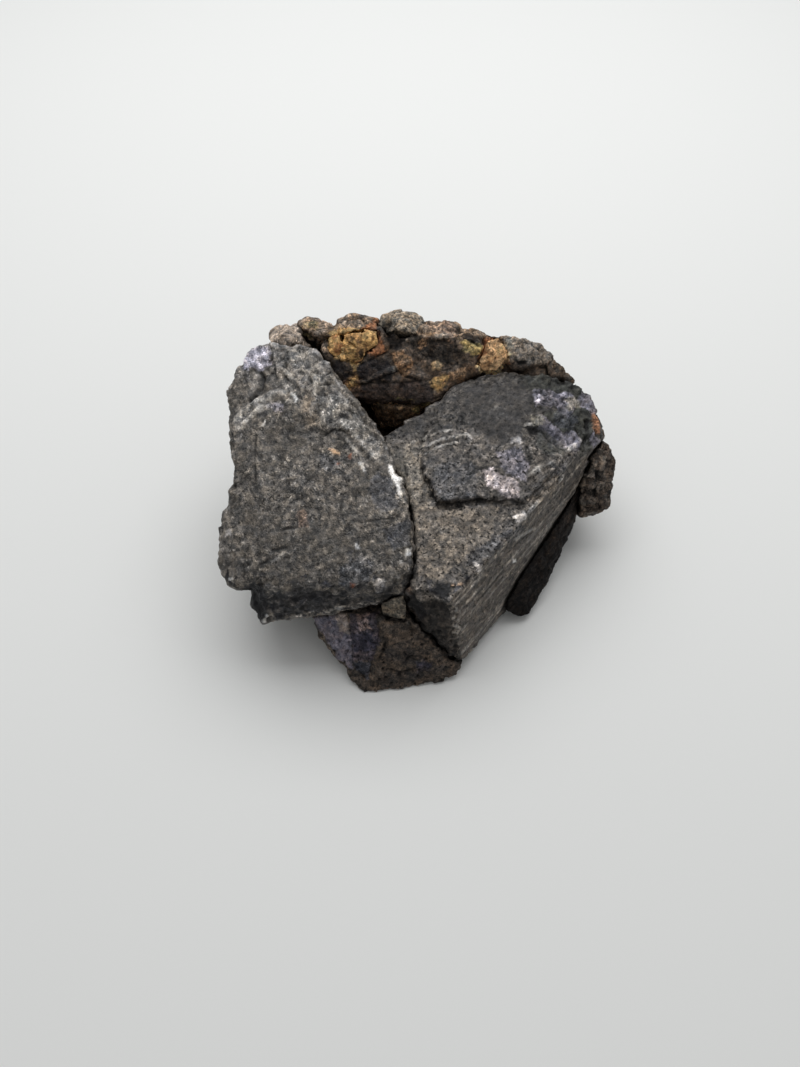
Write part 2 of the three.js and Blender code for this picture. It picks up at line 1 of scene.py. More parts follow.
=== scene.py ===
"""Looks of the galena specimen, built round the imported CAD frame.

Every CAD crystal is copied, remeshed finely and given its broken surface in code: cleavage
terraces, chipped edges, cracks, ridges, pits and crystal crust. Colour, roughness and metal are
set per vertex from the surface itself and broken up further by noise in the material.
Working units inside are millimetres in the row frame; pieces are written out in metres.
"""
from mathutils.bvhtree import BVHTree
import bpy
import math
import numpy as np
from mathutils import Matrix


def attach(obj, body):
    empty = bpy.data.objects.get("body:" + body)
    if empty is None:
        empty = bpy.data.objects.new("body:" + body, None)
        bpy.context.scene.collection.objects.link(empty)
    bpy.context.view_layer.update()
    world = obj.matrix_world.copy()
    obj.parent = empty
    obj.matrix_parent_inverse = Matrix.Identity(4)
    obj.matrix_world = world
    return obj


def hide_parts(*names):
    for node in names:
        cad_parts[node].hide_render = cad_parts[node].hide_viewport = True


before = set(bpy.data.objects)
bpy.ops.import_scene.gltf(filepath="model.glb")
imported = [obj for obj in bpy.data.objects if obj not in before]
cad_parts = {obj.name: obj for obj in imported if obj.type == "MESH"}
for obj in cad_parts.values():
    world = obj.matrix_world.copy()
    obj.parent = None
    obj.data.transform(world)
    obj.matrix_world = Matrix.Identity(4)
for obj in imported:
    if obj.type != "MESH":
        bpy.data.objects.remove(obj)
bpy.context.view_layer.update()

# Line features: kind, node, width mm, depth or height mm, points mm.
LINES = [
    ("crack", "left_crystal", 1.5, 1.0, [(-38.0, 9.6, 35.4), (-36.3, 11.0, 36.4), (-34.9, 12.7, 37.3), (-34.8, 14.9, 38.0), (-36.0, 17.1, 38.3)]),
    ("crack", "left_crystal", 0.4, 0.25, [(-13.8, -16.1, 28.5), (-11.4, -15.8, 28.8), (-9.0, -15.5, 29.1), (-6.2, -15.4, 29.3)]),
    ("crack", "left_crystal", 0.5, 0.4, [(-7.6, -14.6, 29.5), (-5.8, -15.3, 29.4)]),
    ("crack", "left_crystal", 0.5, 0.35, [(-29.8, -16.8, 26.8), (-28.4, -16.5, 27.1), (-26.1, -16.3, 27.4)]),
    ("crack", "left_crystal", 0.6, 0.7, [(-22.8, 10.7, 40.0), (-19.8, 10.6, 40.7)]),
    ("crack", "left_crystal", 0.6, 0.6, [(-23.5, 13.6, 40.9), (-21.5, 12.3, 40.9), (-19.9, 13.3, 41.7)]),
    ("crack", "left_crystal", 0.9, 0.35, [(-31.9, -20.8, 25.1), (-30.3, -20.3, 25.4), (-28.0, -20.0, 25.7)]),
    ("crack", "left_crystal", 0.9, 0.4, [(-34.6, -24.6, 23.3), (-33.0, -23.0, 24.1), (-30.6, -22.0, 24.7)]),
    ("crack", "left_crystal", 0.8, 0.5, [(-20.2, 3.4, 36.3), (-17.7, 4.4, 37.4), (-15.6, 3.8, 37.2)]),
    ("crack", "left_crystal", 0.7, 0.4, [(-21.8, 1.3, 34.7), (-19.4, 2.4, 35.6), (-16.7, 1.9, 35.6)]),
    ("crack", "left_crystal", 0.8, 0.45, [(-17.5, 5.7, 38.4), (-14.8, 4.7, 38.0), (-12.7, 2.8, 36.7)]),
    ("crack", "left_crystal", 0.6, 0.25, [(-35.7, 3.6, 34.2), (-35.7, -2.5, 31.8), (-35.2, -9.6, 29.3)]),
    ("crack", "left_crystal", 0.9, 0.4, [(-22.6, -28.6, 19.4), (-19.8, -28.4, 20.2), (-17.0, -28.4, 20.6)]),
    ("crack", "left_crystal", 1.0, 0.5, [(-28.8, -28.8, 18.1), (-25.8, -28.4, 19.9)]),
    ("crack", "left_crystal", 0.9, 0.5, [(-11.4, -28.3, 18.9), (-8.6, -28.1, 19.7), (-6.6, -27.7, 20.9)]),
    ("ridge", "left_crystal", 1.3, 0.7, [(-23.3, 13.7, 41.0), (-23.0, 9.9, 39.6), (-23.5, 6.9, 38.3), (-23.7, 4.2, 36.4)]),
    ("ridge", "left_crystal", 1.6, 0.6, [(-40.9, 6.1, 33.4), (-38.4, 8.1, 34.8), (-35.6, 9.7, 36.2), (-32.6, 10.6, 37.4), (-28.7, 10.2, 38.4)]),
    ("ridge", "left_crystal", 0.9, 0.35, [(-30.5, 15.9, 39.7), (-28.0, 13.1, 39.5), (-25.5, 10.3, 39.2)]),
    ("ridge", "left_crystal", 1.0, 0.25, [(-39.3, 4.4, 33.3), (-36.8, 7.1, 35.0), (-34.3, 8.8, 36.3)]),
    ("ridge", "left_crystal", 0.8, 0.3, [(-34.2, -24.3, 23.5), (-31.8, -22.7, 24.3), (-28.4, -21.3, 25.1)]),
    ("ridge", "left_crystal", 1.0, 0.4, [(-18.5, 4.0, 36.9), (-15.6, 1.8, 35.7), (-12.7, -1.6, 34.4), (-10.2, -4.8, 33.3)]),
    ("ridge", "left_crystal", 0.6, 0.2, [(-17.3, 1.2, 35.1), (-14.3, -2.7, 33.8), (-12.7, -5.8, 32.7)]),
    ("crack", "right_crystal", 2.3, 1.4, [(-0.7, -2.6, 27.4), (0.1, -6.8, 27.9), (1.1, -8.4, 26.7), (2.5, -10.0, 26.3), (5.9, -9.7, 26.0), (9.4, -9.2, 26.4), (13.3, -8.8, 26.2)]),
    ("crack", "right_crystal", 0.7, 0.4, [(15.2, -8.6, 26.3), (17.6, -8.4, 25.7), (20.8, -8.6, 24.9)]),
    ("crack", "right_crystal", 0.6, 0.5, [(21.2, 3.6, 29.5), (21.8, 1.3, 28.7), (21.9, -0.9, 27.9)]),
    ("crack", "right_crystal", 0.6, 0.3, [(-4.9, 0.5, 28.3), (-4.1, -4.1, 27.3), (-3.7, -8.7, 26.4)]),
    ("crack", "right_crystal", 0.6, 0.35, [(24.3, 7.5, 29.9), (26.8, 5.1, 28.8), (29.9, 3.7, 27.1)]),
    ("crack", "right_crystal", 0.6, 0.5, [(23.3, 13.3, 31.5), (24.9, 14.2, 31.5), (26.6, 14.4, 30.7)]),
    ("crack", "right_crystal", 0.6, 0.3, [(20.1, -10.4, 24.5), (17.5, -11.4, 24.5), (15.0, -11.7, 24.6)]),
    ("crack", "right_crystal", 0.8, 0.5, [(24.9, -3.6, 25.9), (26.5, -2.2, 25.8), (28.5, -1.4, 24.6)]),
    ("crack", "right_crystal", 0.7, 0.4, [(35.5, 13.3, 26.1), (35.7, 10.3, 25.4), (34.5, 7.3, 25.3)]),
    ("ridge", "right_crystal", 0.9, 0.35, [(-1.9, 2.7, 28.6), (1.0, 3.7, 29.7), (4.0, 4.8, 30.1), (8.5, 5.6, 30.5), (11.0, 2.3, 29.7)]),
    ("ridge", "right_crystal", 0.7, 0.2, [(-4.7, 3.6, 28.9), (-1.0, 5.4, 29.1), (2.8, 6.6, 30.2), (6.0, 6.9, 30.5)]),
    ("ridge", "right_crystal", 0.6, 0.2, [(-0.7, 1.2, 29.0), (2.7, 2.9, 29.7), (6.6, 3.9, 30.1)]),
    ("ridge", "right_crystal", 0.8, 0.3, [(19.1, -12.2, 24.2), (21.8, -9.4, 24.5), (24.9, -5.9, 24.1), (27.6, -2.8, 23.9), (30.0, 0.3, 24.5)]),
    ("ridge", "right_crystal", 1.0, 0.4, [(27.5, 1.5, 27.7), (30.9, 4.8, 26.8), (34.6, 8.9, 25.7)]),
    ("ridge", "right_crystal", 0.9, 0.4, [(20.9, -3.5, 27.2), (23.8, -1.1, 27.5), (27.4, 0.6, 27.5)]),
    ("crack", "right_crystal", 0.6, 0.4, [(21.6, -8.8, 24.8), (24.8, -5.6, 25.1), (27.5, -2.5, 24.9)]),
    ("ridge", "right_crystal", 0.6, 0.35, [(4.9, -30.0, 19.0), (6.2, -29.8, 16.7), (5.4, -30.8, 16.0)]),
    ("ridge", "right_crystal", 0.6, 0.35, [(4.7, -31.0, 17.1), (6.1, -30.7, 15.0), (5.3, -31.7, 14.2)]),
    ("ridge", "right_crystal", 0.6, 0.35, [(4.8, -31.6, 14.9), (6.4, -31.3, 13.0), (5.1, -32.3, 12.1)]),
    ("ridge", "right_crystal", 0.6, 0.3, [(5.5, -32.2, 12.2), (6.8, -31.2, 12.2), (8.3, -29.6, 12.2)]),
    ("crack", "right_crystal", 0.5, 0.2, [(10.8, -25.6, 15.2), (13.4, -22.5, 15.7), (16.3, -18.9, 16.6)]),
    ("crack", "right_crystal", 0.5, 0.2, [(14.9, -19.2, 19.7), (18.3, -15.3, 19.6), (22.4, -10.9, 18.7)]),
    ("crack", "right_crystal", 0.9, 0.5, [(27.5, 21.5, 30.8), (29.6, 21.5, 30.0), (32.5, 22.5, 29.0)]),
    ("crack", "lower_crystal", 0.6, 0.4, [(-16.8, -28.7, 12.2), (-15.8, -31.9, 8.7), (-15.9, -35.1, 4.3)]),
    ("crack", "lower_crystal", 0.8, 0.6, [(-10.0, -31.4, 13.7), (-10.5, -33.5, 10.3), (-11.6, -35.3, 7.1), (-12.3, -37.4, 3.5)]),
    ("crack", "lower_crystal", 0.8, 0.5, [(-8.6, -33.2, 11.1), (-9.3, -34.7, 8.6), (-10.3, -35.7, 6.9)]),
    ("crack", "lower_crystal", 1.0, 0.8, [(-9.0, -30.9, 14.9), (-6.6, -31.0, 14.8), (-4.5, -30.5, 14.2)]),
    ("crack", "lower_crystal", 0.9, 0.5, [(-5.3, -34.4, 8.5), (-3.9, -35.0, 6.9), (-2.8, -34.7, 7.2)]),
    ("crack", "lower_crystal", 0.8, 0.35, [(-8.3, -36.6, 5.1), (-5.8, -36.9, 3.8), (-2.8, -36.2, 4.3)]),
    ("crack", "matrix_crust", 0.9, 0.6, [(9.5, 25.6, 38.8), (11.3, 24.9, 37.8), (13.5, 26.9, 34.2)]),
    ("crack", "matrix_crust", 0.8, 0.6, [(-15.1, 21.1, 35.5), (-11.9, 22.0, 36.4), (-8.4, 23.3, 37.6)]),
    ("crack", "matrix_crust", 0.8, 0.6, [(-7.3, 21.3, 35.3), (-4.9, 19.9, 33.6), (-1.4, 19.5, 32.8)]),
    ("crack", "matrix_crust", 0.9, 0.5, [(-16.8, 18.6, 31.8), (-12.3, 18.9, 32.5), (-5.8, 18.9, 32.5), (0.8, 19.5, 32.8)]),
    ("crack", "matrix_crust", 0.9, 0.7, [(19.1, 23.8, 35.3), (20.8, 23.5, 34.1), (22.7, 24.2, 33.7)]),
    ("crack", "matrix_crust", 0.9, 0.8, [(27.1, 25.5, 31.2), (27.9, 23.8, 29.4), (29.4, 23.1, 29.5)]),
    ("ridge", "matrix_crust", 1.0, 0.5, [(-5.8, 25.0, 39.4), (-1.4, 25.4, 39.6), (4.0, 26.0, 39.7), (7.0, 28.0, 38.7)]),
    ("ridge", "matrix_crust", 1.0, 0.6, [(-14.5, 19.0, 32.4), (-9.0, 20.4, 34.4), (-3.1, 22.3, 36.1)]),
]
PATCHES = [
    ("glint_white", "left_crystal", [(-8.8, -3.0, 34.1), (-5.5, -7.6, 31.7), (-5.1, -11.4, 30.9), (-6.0, -12.5, 30.5), (-6.6, -9.9, 31.4), (-8.0, -6.6, 32.7)]),
    ("glint_orange", "left_crystal", [(-20.8, -0.8, 34.0), (-19.5, -1.1, 34.0), (-17.8, -2.0, 33.8), (-18.0, -2.7, 33.5), (-19.9, -2.0, 33.6)]),
    ("glint_line", "left_crystal", [(-14.3, -4.3, 33.1), (-13.7, -4.2, 33.3), (-12.5, -6.0, 32.6), (-12.9, -6.4, 32.4)]),
    ("glint_line", "left_crystal", [(-14.9, -19.8, 26.9), (-14.3, -19.9, 26.9), (-13.7, -21.0, 26.5), (-14.3, -21.2, 26.4)]),
    ("glint_line", "left_crystal", [(-40.6, -23.5, 20.0), (-39.7, -23.8, 20.5), (-39.7, -24.3, 19.7), (-40.7, -24.0, 19.3)]),
    ("glint_soft", "left_crystal", [(-41.4, -15.2, 24.8), (-40.3, -14.8, 25.3), (-40.0, -16.5, 24.8), (-41.5, -16.5, 24.2)]),
    ("glint_soft", "left_crystal", [(-10.9, -27.3, 23.8), (-8.9, -26.3, 24.8), (-8.3, -27.8, 22.7), (-10.5, -28.1, 21.7)]),
    ("glint_line", "left_crystal", [(-4.8, -21.4, 27.1), (-3.6, -20.7, 26.4), (-3.6, -22.3, 25.9), (-4.6, -22.8, 26.6)]),
    ("glint_dim", "left_crystal", [(-5.9, -23.8, 26.1), (-5.2, -23.5, 26.3), (-5.2, -24.1, 26.0), (-5.8, -24.2, 25.9)]),
    ("glint_soft", "left_crystal", [(-24.3, -29.2, 15.7), (-22.2, -29.1, 16.6), (-22.1, -29.2, 15.6), (-24.2, -29.3, 15.0)]),
    ("glint_dim", "left_crystal", [(-18.9, -28.9, 17.2), (-17.3, -28.8, 17.7), (-17.3, -28.8, 17.0), (-18.8, -28.9, 16.4)]),
    ("glint_line", "left_crystal", [(-34.2, -29.6, 13.1), (-32.9, -29.2, 15.7), (-32.5, -29.4, 15.5), (-33.6, -29.7, 12.8)]),
    ("glint_line", "left_crystal", [(-28.5, 10.2, 38.4), (-27.6, 9.8, 38.5), (-26.7, 8.4, 38.2), (-27.3, 8.1, 37.9)]),
    ("glint_line", "left_crystal", [(-34.5, 4.2, 34.8), (-33.9, 5.6, 35.4), (-33.4, 5.3, 35.4), (-34.0, 4.0, 34.8)]),
    ("lilac", "left_crystal", [(-39.5, 18.4, 37.5), (-38.7, 21.3, 38.6), (-36.8, 22.9, 39.6), (-35.0, 22.4, 40.1), (-33.6, 20.8, 40.2), (-32.8, 18.5, 39.7), (-33.8, 17.4, 39.1), (-36.0, 17.3, 38.3), (-37.9, 18.0, 37.9)]),
    ("lilac_weak", "left_crystal", [(-32.8, 9.5, 37.0), (-31.2, 8.8, 37.2), (-29.9, 7.2, 37.0), (-30.3, 6.3, 36.6), (-32.0, 7.0, 36.4), (-33.4, 8.6, 36.5)]),
    ("blue", "left_crystal", [(-11.8, -7.8, 32.0), (-10.2, -6.7, 32.5), (-7.8, -7.6, 32.3), (-6.4, -10.3, 31.3), (-6.4, -13.5, 30.1), (-8.2, -14.4, 29.6), (-11.0, -12.9, 29.9), (-12.2, -10.1, 30.9)]),
    ("blue", "left_crystal", [(-8.8, -17.6, 28.3), (-6.6, -16.6, 28.8), (-3.7, -15.7, 28.6), (-3.6, -20.3, 26.5), (-6.1, -21.6, 26.9), (-8.5, -20.1, 27.3)]),
    ("blue_weak", "left_crystal", [(-17.7, -24.1, 25.0), (-13.3, -22.4, 26.0), (-10.5, -24.4, 25.5), (-12.1, -27.8, 22.8), (-15.7, -28.2, 21.1), (-18.0, -27.4, 23.5)]),
    ("blue_weak", "left_crystal", [(-22.6, -1.3, 33.6), (-19.7, -3.1, 33.2), (-17.0, -5.2, 32.6), (-19.0, -6.7, 31.8), (-22.1, -4.5, 32.4)]),
    # painted shade: the dark, notch and dark_band patches at the front corner of the left crystal
    ("dark", "left_crystal", [(-37.5, -25.4, 18.8), (-33.4, -26.6, 21.8), (-32.8, -28.2, 18.7), (-34.3, -29.7, 12.4)]),
    ("notch", "left_crystal", [(-37.3, -25.5, 18.9), (-33.7, -26.3, 21.3), (-31.8, -27.4, 21.3), (-32.8, -28.2, 18.7), (-34.6, -28.4, 15.8), (-36.5, -26.7, 15.0)]),
    ("notch", "left_crystal", [(-34.5, -28.2, 16.3), (-33.6, -29.2, 14.9), (-34.7, -29.7, 12.4)]),
    ("dark_band", "left_crystal", [(-32.3, -27.9, 19.7), (-25.6, -27.7, 22.6), (-19.7, -28.1, 21.6), (-16.8, -28.6, 19.4), (-22.1, -29.2, 15.6), (-31.4, -29.5, 14.2)]),
    ("dark_weak", "left_crystal", [(-16.7, -27.8, 22.8), (-11.7, -27.4, 23.6), (-5.8, -26.9, 22.1), (-15.9, -28.7, 17.2)]),
    ("light_weak", "left_crystal", [(-30.2, 20.2, 41.0), (-24.3, 18.8, 42.4), (-20.3, 12.5, 41.3), (-21.9, 9.7, 39.8), (-26.7, 14.4, 40.3)]),
    ("light_weak", "left_crystal", [(-22.7, 8.1, 39.1), (-18.1, 8.8, 40.2), (-14.0, 4.5, 37.9), (-9.8, -0.9, 34.8), (-9.8, -4.4, 33.5), (-16.0, 2.2, 35.9), (-21.8, 3.4, 36.1)]),
    ("light_weak", "left_crystal", [(-40.9, 6.1, 33.4), (-36.3, 9.9, 36.0), (-32.0, 10.5, 37.5), (-31.7, 8.9, 37.1), (-35.9, 7.2, 35.3), (-39.7, 4.1, 33.1)]),
    ("brown_weak", "left_crystal", [(-26.5, 8.8, 38.4), (-23.1, 8.6, 39.1), (-22.7, 3.4, 36.0), (-25.2, 2.8, 35.2)]),
    ("rust_spot", "left_crystal", [(-16.6, -2.4, 33.7), (-15.6, -2.3, 33.9), (-15.4, -3.7, 33.3), (-16.4, -3.8, 33.2)]),
    ("rust_spot", "left_crystal", [(-15.6, -27.3, 23.8), (-14.7, -27.3, 23.8), (-14.7, -27.8, 22.8), (-15.7, -27.9, 22.8)]),
    ("rust_spot", "left_crystal", [(-18.6, -3.9, 32.9), (-17.8, -4.0, 33.0), (-17.8, -4.5, 32.8), (-18.6, -4.5, 32.7)]),
    ("rust_weak", "left_crystal", [(-26.6, -12.9, 28.6), (-24.8, -13.4, 28.6), (-24.1, -16.5, 27.4), (-25.9, -16.8, 27.1)]),
    ("glint_pink", "right_crystal", [(11.6, -2.5, 28.6), (13.6, -1.8, 28.7), (15.8, -3.6, 28.0), (18.1, -4.0, 27.5), (19.4, -5.0, 27.0), (19.2, -7.9, 26.1), (16.7, -8.4, 26.1), (14.6, -6.9, 27.1), (12.4, -6.1, 27.5)]),
    ("lilac_weak", "right_crystal", [(14.3, 1.6, 29.5), (19.7, 2.8, 29.5), (21.3, -0.1, 28.3), (20.5, -4.4, 27.0), (16.3, -2.3, 28.3)]),
    ("glint_soft", "right_crystal", [(17.5, -11.4, 24.5), (19.2, -10.2, 24.6), (20.7, -10.6, 24.5), (20.6, -11.4, 23.1), (18.7, -12.9, 24.1)]),
    ("glint_dim", "right_crystal", [(17.7, -15.3, 21.4), (19.8, -13.1, 20.8), (22.8, -10.3, 19.0), (23.2, -10.2, 18.2), (20.2, -13.1, 19.7), (18.3, -15.1, 20.4)]),
    ("glint_soft", "right_crystal", [(8.4, -21.6, 23.0), (9.2, -21.8, 22.9), (10.7, -23.0, 21.8), (10.0, -23.7, 21.8)]),
    ("glint_line", "right_crystal", [(2.4, -26.8, 22.3), (4.0, -27.0, 22.1), (4.0, -27.6, 22.0), (2.4, -27.5, 22.1)]),
    ("glint_orange", "right_crystal", [(4.4, -26.6, 22.2), (6.7, -26.3, 22.1), (6.6, -26.7, 22.0), (4.4, -27.2, 22.1)]),
    ("glint_line", "right_crystal", [(17.9, -17.0, 16.7), (18.9, -16.1, 15.8), (18.7, -16.6, 15.0), (18.0, -17.3, 15.6)]),
    ("glint_soft", "right_crystal", [(17.5, 5.2, 30.3), (20.0, 5.5, 30.2), (20.4, 3.9, 29.8), (17.8, 3.6, 29.9)]),
    ("glint_dim", "right_crystal", [(14.3, 12.3, 31.9), (15.7, 12.8, 32.0), (15.8, 12.1, 31.8), (14.5, 11.6, 31.7)]),
    ("glint_dim", "right_crystal", [(15.3, 10.6, 31.5), (16.4, 11.1, 31.6), (16.6, 10.4, 31.4), (15.5, 10.2, 31.4)]),
    ("glint_dim", "right_crystal", [(20.6, 8.4, 30.8), (22.4, 9.1, 30.7), (22.6, 8.4, 30.5), (20.8, 7.7, 30.6)]),
    ("glint_soft", "right_crystal", [(28.4, 0.3, 26.5), (29.1, 1.1, 26.6), (29.3, 0.2, 26.0), (28.6, -0.4, 26.1)]),
    ("blue", "right_crystal", [(27.6, 12.2, 29.8), (29.4, 14.4, 29.3), (32.3, 15.1, 28.0), (33.8, 13.1, 26.9), (32.3, 9.8, 27.0), (29.4, 8.9, 28.3), (27.6, 9.7, 29.3)]),
    ("lilac_weak", "right_crystal", [(23.2, 16.8, 31.8), (27.0, 19.0, 30.9), (30.4, 17.9, 29.5), (28.9, 14.3, 29.5), (25.8, 13.6, 30.9), (23.4, 14.0, 31.6)]),
    ("lilac", "right_crystal", [(23.3, 15.7, 31.8), (25.1, 16.2, 31.5), (25.2, 14.3, 31.4), (23.8, 13.3, 31.5)]),
    ("olive_dark", "right_crystal", [(23.9, 7.4, 30.0), (26.1, 7.3, 29.5), (30.1, 5.7, 27.4), (28.9, 2.4, 27.4), (25.1, 2.1, 28.3), (23.5, 4.1, 29.2)]),
    ("olive", "right_crystal", [(22.5, 10.5, 31.0), (25.4, 11.7, 30.7), (25.7, 8.9, 30.0), (23.0, 8.2, 30.3)]),
    ("olive", "right_crystal", [(30.6, 17.5, 29.3), (33.9, 19.3, 28.0), (34.1, 16.5, 27.4), (31.3, 14.7, 28.4)]),
    ("dark_pit", "right_crystal", [(21.5, 7.5, 30.5), (23.5, 8.1, 30.2), (23.8, 6.5, 29.7), (22.0, 5.8, 29.9)]),
    ("dark_pit", "right_crystal", [(34.8, 13.5, 26.5), (36.1, 14.0, 25.9), (35.9, 11.9, 25.6), (34.9, 11.5, 26.1)]),
    ("smooth_dark", "right_crystal", [(5.6, 15.3, 31.6), (9.6, 18.4, 32.1), (20.6, 18.9, 32.2), (23.0, 15.1, 31.8), (21.7, 8.5, 30.7), (16.6, 4.5, 30.1), (11.3, 5.8, 30.5), (7.2, 9.9, 31.0)]),
    ("smooth_dark", "right_crystal", [(11.0, 9.7, 31.3), (20.2, 11.4, 31.4), (20.2, 5.0, 30.1), (15.4, 3.1, 29.8), (11.7, 4.9, 30.3)]),
    ("blue_weak", "right_crystal", [(1.8, -0.8, 29.1), (9.0, -0.7, 29.1), (10.9, -4.7, 28.0), (10.0, -8.4, 27.0), (2.9, -9.4, 27.3), (0.7, -5.8, 28.1)]),
    ("blue_weak", "right_crystal", [(7.1, -19.3, 23.5), (13.7, -16.9, 23.6), (15.9, -17.1, 22.1), (10.4, -21.7, 22.8), (7.6, -22.7, 22.8)]),
    ("blue_weak", "right_crystal", [(14.8, -15.9, 23.7), (18.6, -13.2, 24.1), (20.8, -12.0, 21.0), (17.1, -16.1, 21.1)]),
    ("blue_weak", "right_crystal", [(25.5, -1.7, 27.0), (27.8, 0.7, 27.4), (29.8, 1.8, 26.7), (29.8, 0.6, 25.5), (26.5, -2.9, 25.7)]),
    ("light_band", "right_crystal", [(-4.9, 3.8, 29.0), (-0.6, 5.1, 29.4), (-1.7, 1.8, 28.4), (-0.7, -4.0, 27.1), (0.9, -8.5, 26.1), (-0.0, -15.2, 24.8), (-2.9, -15.3, 25.0), (-3.9, -8.7, 26.4)]),
    ("light_brown", "right_crystal", [(-2.4, -9.7, 26.1), (8.8, -10.0, 25.3), (15.1, -9.3, 25.1), (12.7, -16.9, 23.7), (6.8, -21.4, 23.1), (2.3, -25.8, 22.5), (-2.1, -24.9, 22.9)]),
    # painted shade: the notch and dark patches at the front of the right crystal
    ("notch", "right_crystal", [(1.4, -26.7, 22.4), (3.8, -26.4, 22.3), (4.2, -28.2, 21.9), (2.6, -29.7, 21.2), (0.6, -28.6, 21.8)]),
    ("dark", "right_crystal", [(-4.7, -27.2, 19.4), (-3.2, -27.5, 21.4), (-1.5, -29.0, 19.3), (-0.1, -30.3, 15.9), (-1.7, -30.3, 14.3), (-4.1, -28.7, 18.0)]),
    ("brown_weak", "right_crystal", [(20.8, -7.8, 25.2), (24.9, -4.3, 25.5), (28.3, -0.4, 26.1), (27.7, -3.0, 23.2), (23.7, -7.3, 23.9)]),
    ("rust_weak", "right_crystal", [(-5.3, -24.1, 16.7), (-3.4, -26.9, 22.4), (-2.7, -27.8, 21.1), (-4.9, -27.2, 18.7)]),
    ("lilac_face", "lower_crystal", [(-24.4, -26.7, 9.2), (-17.0, -27.9, 12.6), (-15.8, -31.9, 8.7), (-15.9, -35.7, 3.4), (-18.5, -34.0, 3.6), (-21.4, -30.5, 6.1)]),
    ("brown_light", "lower_crystal", [(-19.3, -27.4, 11.6), (-16.8, -28.0, 12.7), (-16.2, -31.0, 9.6), (-18.3, -30.2, 9.1)]),
    ("purple", "lower_crystal", [(-16.1, -27.9, 12.9), (-9.9, -28.5, 14.3), (-10.1, -33.2, 11.0), (-11.6, -35.6, 6.7), (-15.9, -34.9, 4.5), (-15.8, -31.9, 8.7)]),
    ("pinkish", "lower_crystal", [(-14.7, -28.1, 13.2), (-11.9, -28.2, 13.8), (-11.5, -31.6, 12.4), (-14.0, -31.1, 11.1)]),
    ("blue_dark", "lower_crystal", [(-15.7, -31.1, 9.8), (-11.1, -32.0, 12.2), (-11.1, -34.3, 8.8), (-15.4, -33.7, 6.6)]),
    ("blue_grey_dark", "lower_crystal", [(-16.5, -34.5, 4.6), (-11.8, -35.8, 6.3), (-12.5, -38.1, 2.4)]),
    ("blue_dark", "lower_crystal", [(-2.6, -35.5, 5.6), (-0.7, -35.1, 5.8), (1.0, -35.3, 4.9), (0.6, -36.3, 3.1), (-2.0, -36.6, 3.2)]),
    ("dark_weak", "lower_crystal", [(-9.1, -34.2, 9.4), (-5.8, -33.9, 9.7), (-0.7, -34.2, 7.6), (-1.6, -35.6, 5.0), (-6.6, -36.0, 5.8), (-9.1, -35.4, 7.3)]),
    ("dark_weak", "lower_crystal", [(-9.9, -37.6, 3.5), (-1.5, -36.1, 4.1), (6.1, -34.9, 3.6), (-1.5, -37.5, 1.3), (-10.0, -39.1, 0.8)]),
    ("dark_wall", "matrix_crust", [(-4.9, 25.6, 40.0), (6.5, 25.8, 39.3), (7.8, 23.3, 36.4), (5.7, 21.2, 34.2), (0.8, 22.4, 36.0), (-2.7, 23.4, 37.4)]),
    ("ochre_yellow", "matrix_crust", [(-21.4, 26.3, 40.0), (-18.0, 28.2, 40.0), (-13.2, 27.9, 40.3), (-12.8, 26.6, 36.8), (-14.0, 22.2, 36.8), (-15.6, 20.5, 34.8), (-17.5, 21.6, 36.2), (-19.7, 22.1, 36.9), (-21.5, 23.8, 37.1)]),
    ("ochre_orange", "matrix_crust", [(-13.6, 28.1, 40.3), (-10.7, 32.6, 36.3), (-9.9, 24.9, 39.5), (-8.4, 23.5, 37.9), (-11.9, 22.4, 36.9), (-14.2, 26.0, 35.6)]),
    ("ochre_brown", "matrix_crust", [(-7.5, 23.0, 37.2), (-5.8, 23.6, 37.8), (-3.1, 22.9, 36.8), (-3.1, 20.9, 34.5), (-4.7, 19.4, 32.9), (-6.6, 20.5, 34.3)]),
    ("ochre_brown", "matrix_crust", [(-2.1, 24.9, 39.0), (-0.3, 25.4, 39.4), (0.6, 24.5, 38.4), (-1.2, 23.9, 37.8)]),
    ("ochre_cream", "matrix_crust", [(1.0, 21.9, 35.4), (2.3, 22.5, 35.9), (3.9, 21.8, 35.1), (3.2, 21.1, 34.3), (1.5, 21.0, 34.4)]),
    ("ochre_yellow", "matrix_crust", [(1.1, 19.6, 32.8), (2.8, 20.2, 33.3), (5.2, 20.2, 33.1), (3.9, 19.1, 32.0), (2.4, 17.9, 30.8), (1.3, 18.6, 31.6)]),
    ("ochre_brown", "matrix_crust", [(5.0, 20.6, 33.6), (7.0, 21.5, 34.5), (9.2, 21.7, 34.0), (8.1, 20.5, 32.7), (5.5, 19.9, 32.7)]),
    ("ochre_green", "matrix_crust", [(7.1, 25.7, 39.1), (8.6, 25.5, 38.7), (12.5, 26.3, 34.1), (10.0, 23.3, 36.0), (8.2, 24.2, 37.3)]),
    ("ochre_orange", "matrix_crust", [(12.0, 27.7, 36.9), (14.7, 29.0, 37.0), (16.9, 27.7, 36.3), (17.6, 26.5, 32.7), (16.3, 25.0, 31.1), (13.1, 24.7, 31.4), (11.4, 23.4, 35.6)]),
    ("ochre_bright", "matrix_crust", [(15.7, 28.7, 35.7), (17.6, 27.0, 37.0), (19.1, 24.5, 35.8), (18.2, 23.8, 34.1), (16.5, 25.3, 31.4), (16.6, 27.3, 33.8)]),
    ("ochre_bright", "matrix_crust", [(11.2, 22.5, 34.4), (14.0, 24.7, 31.0), (17.1, 24.8, 31.8), (16.8, 24.3, 29.9), (13.7, 24.4, 29.2)]),
    ("ochre_orange", "right_crystal", [(37.6, 16.6, 25.7), (38.5, 16.0, 25.1), (38.3, 11.3, 24.0), (37.1, 11.6, 25.0), (36.8, 14.0, 25.6)]),
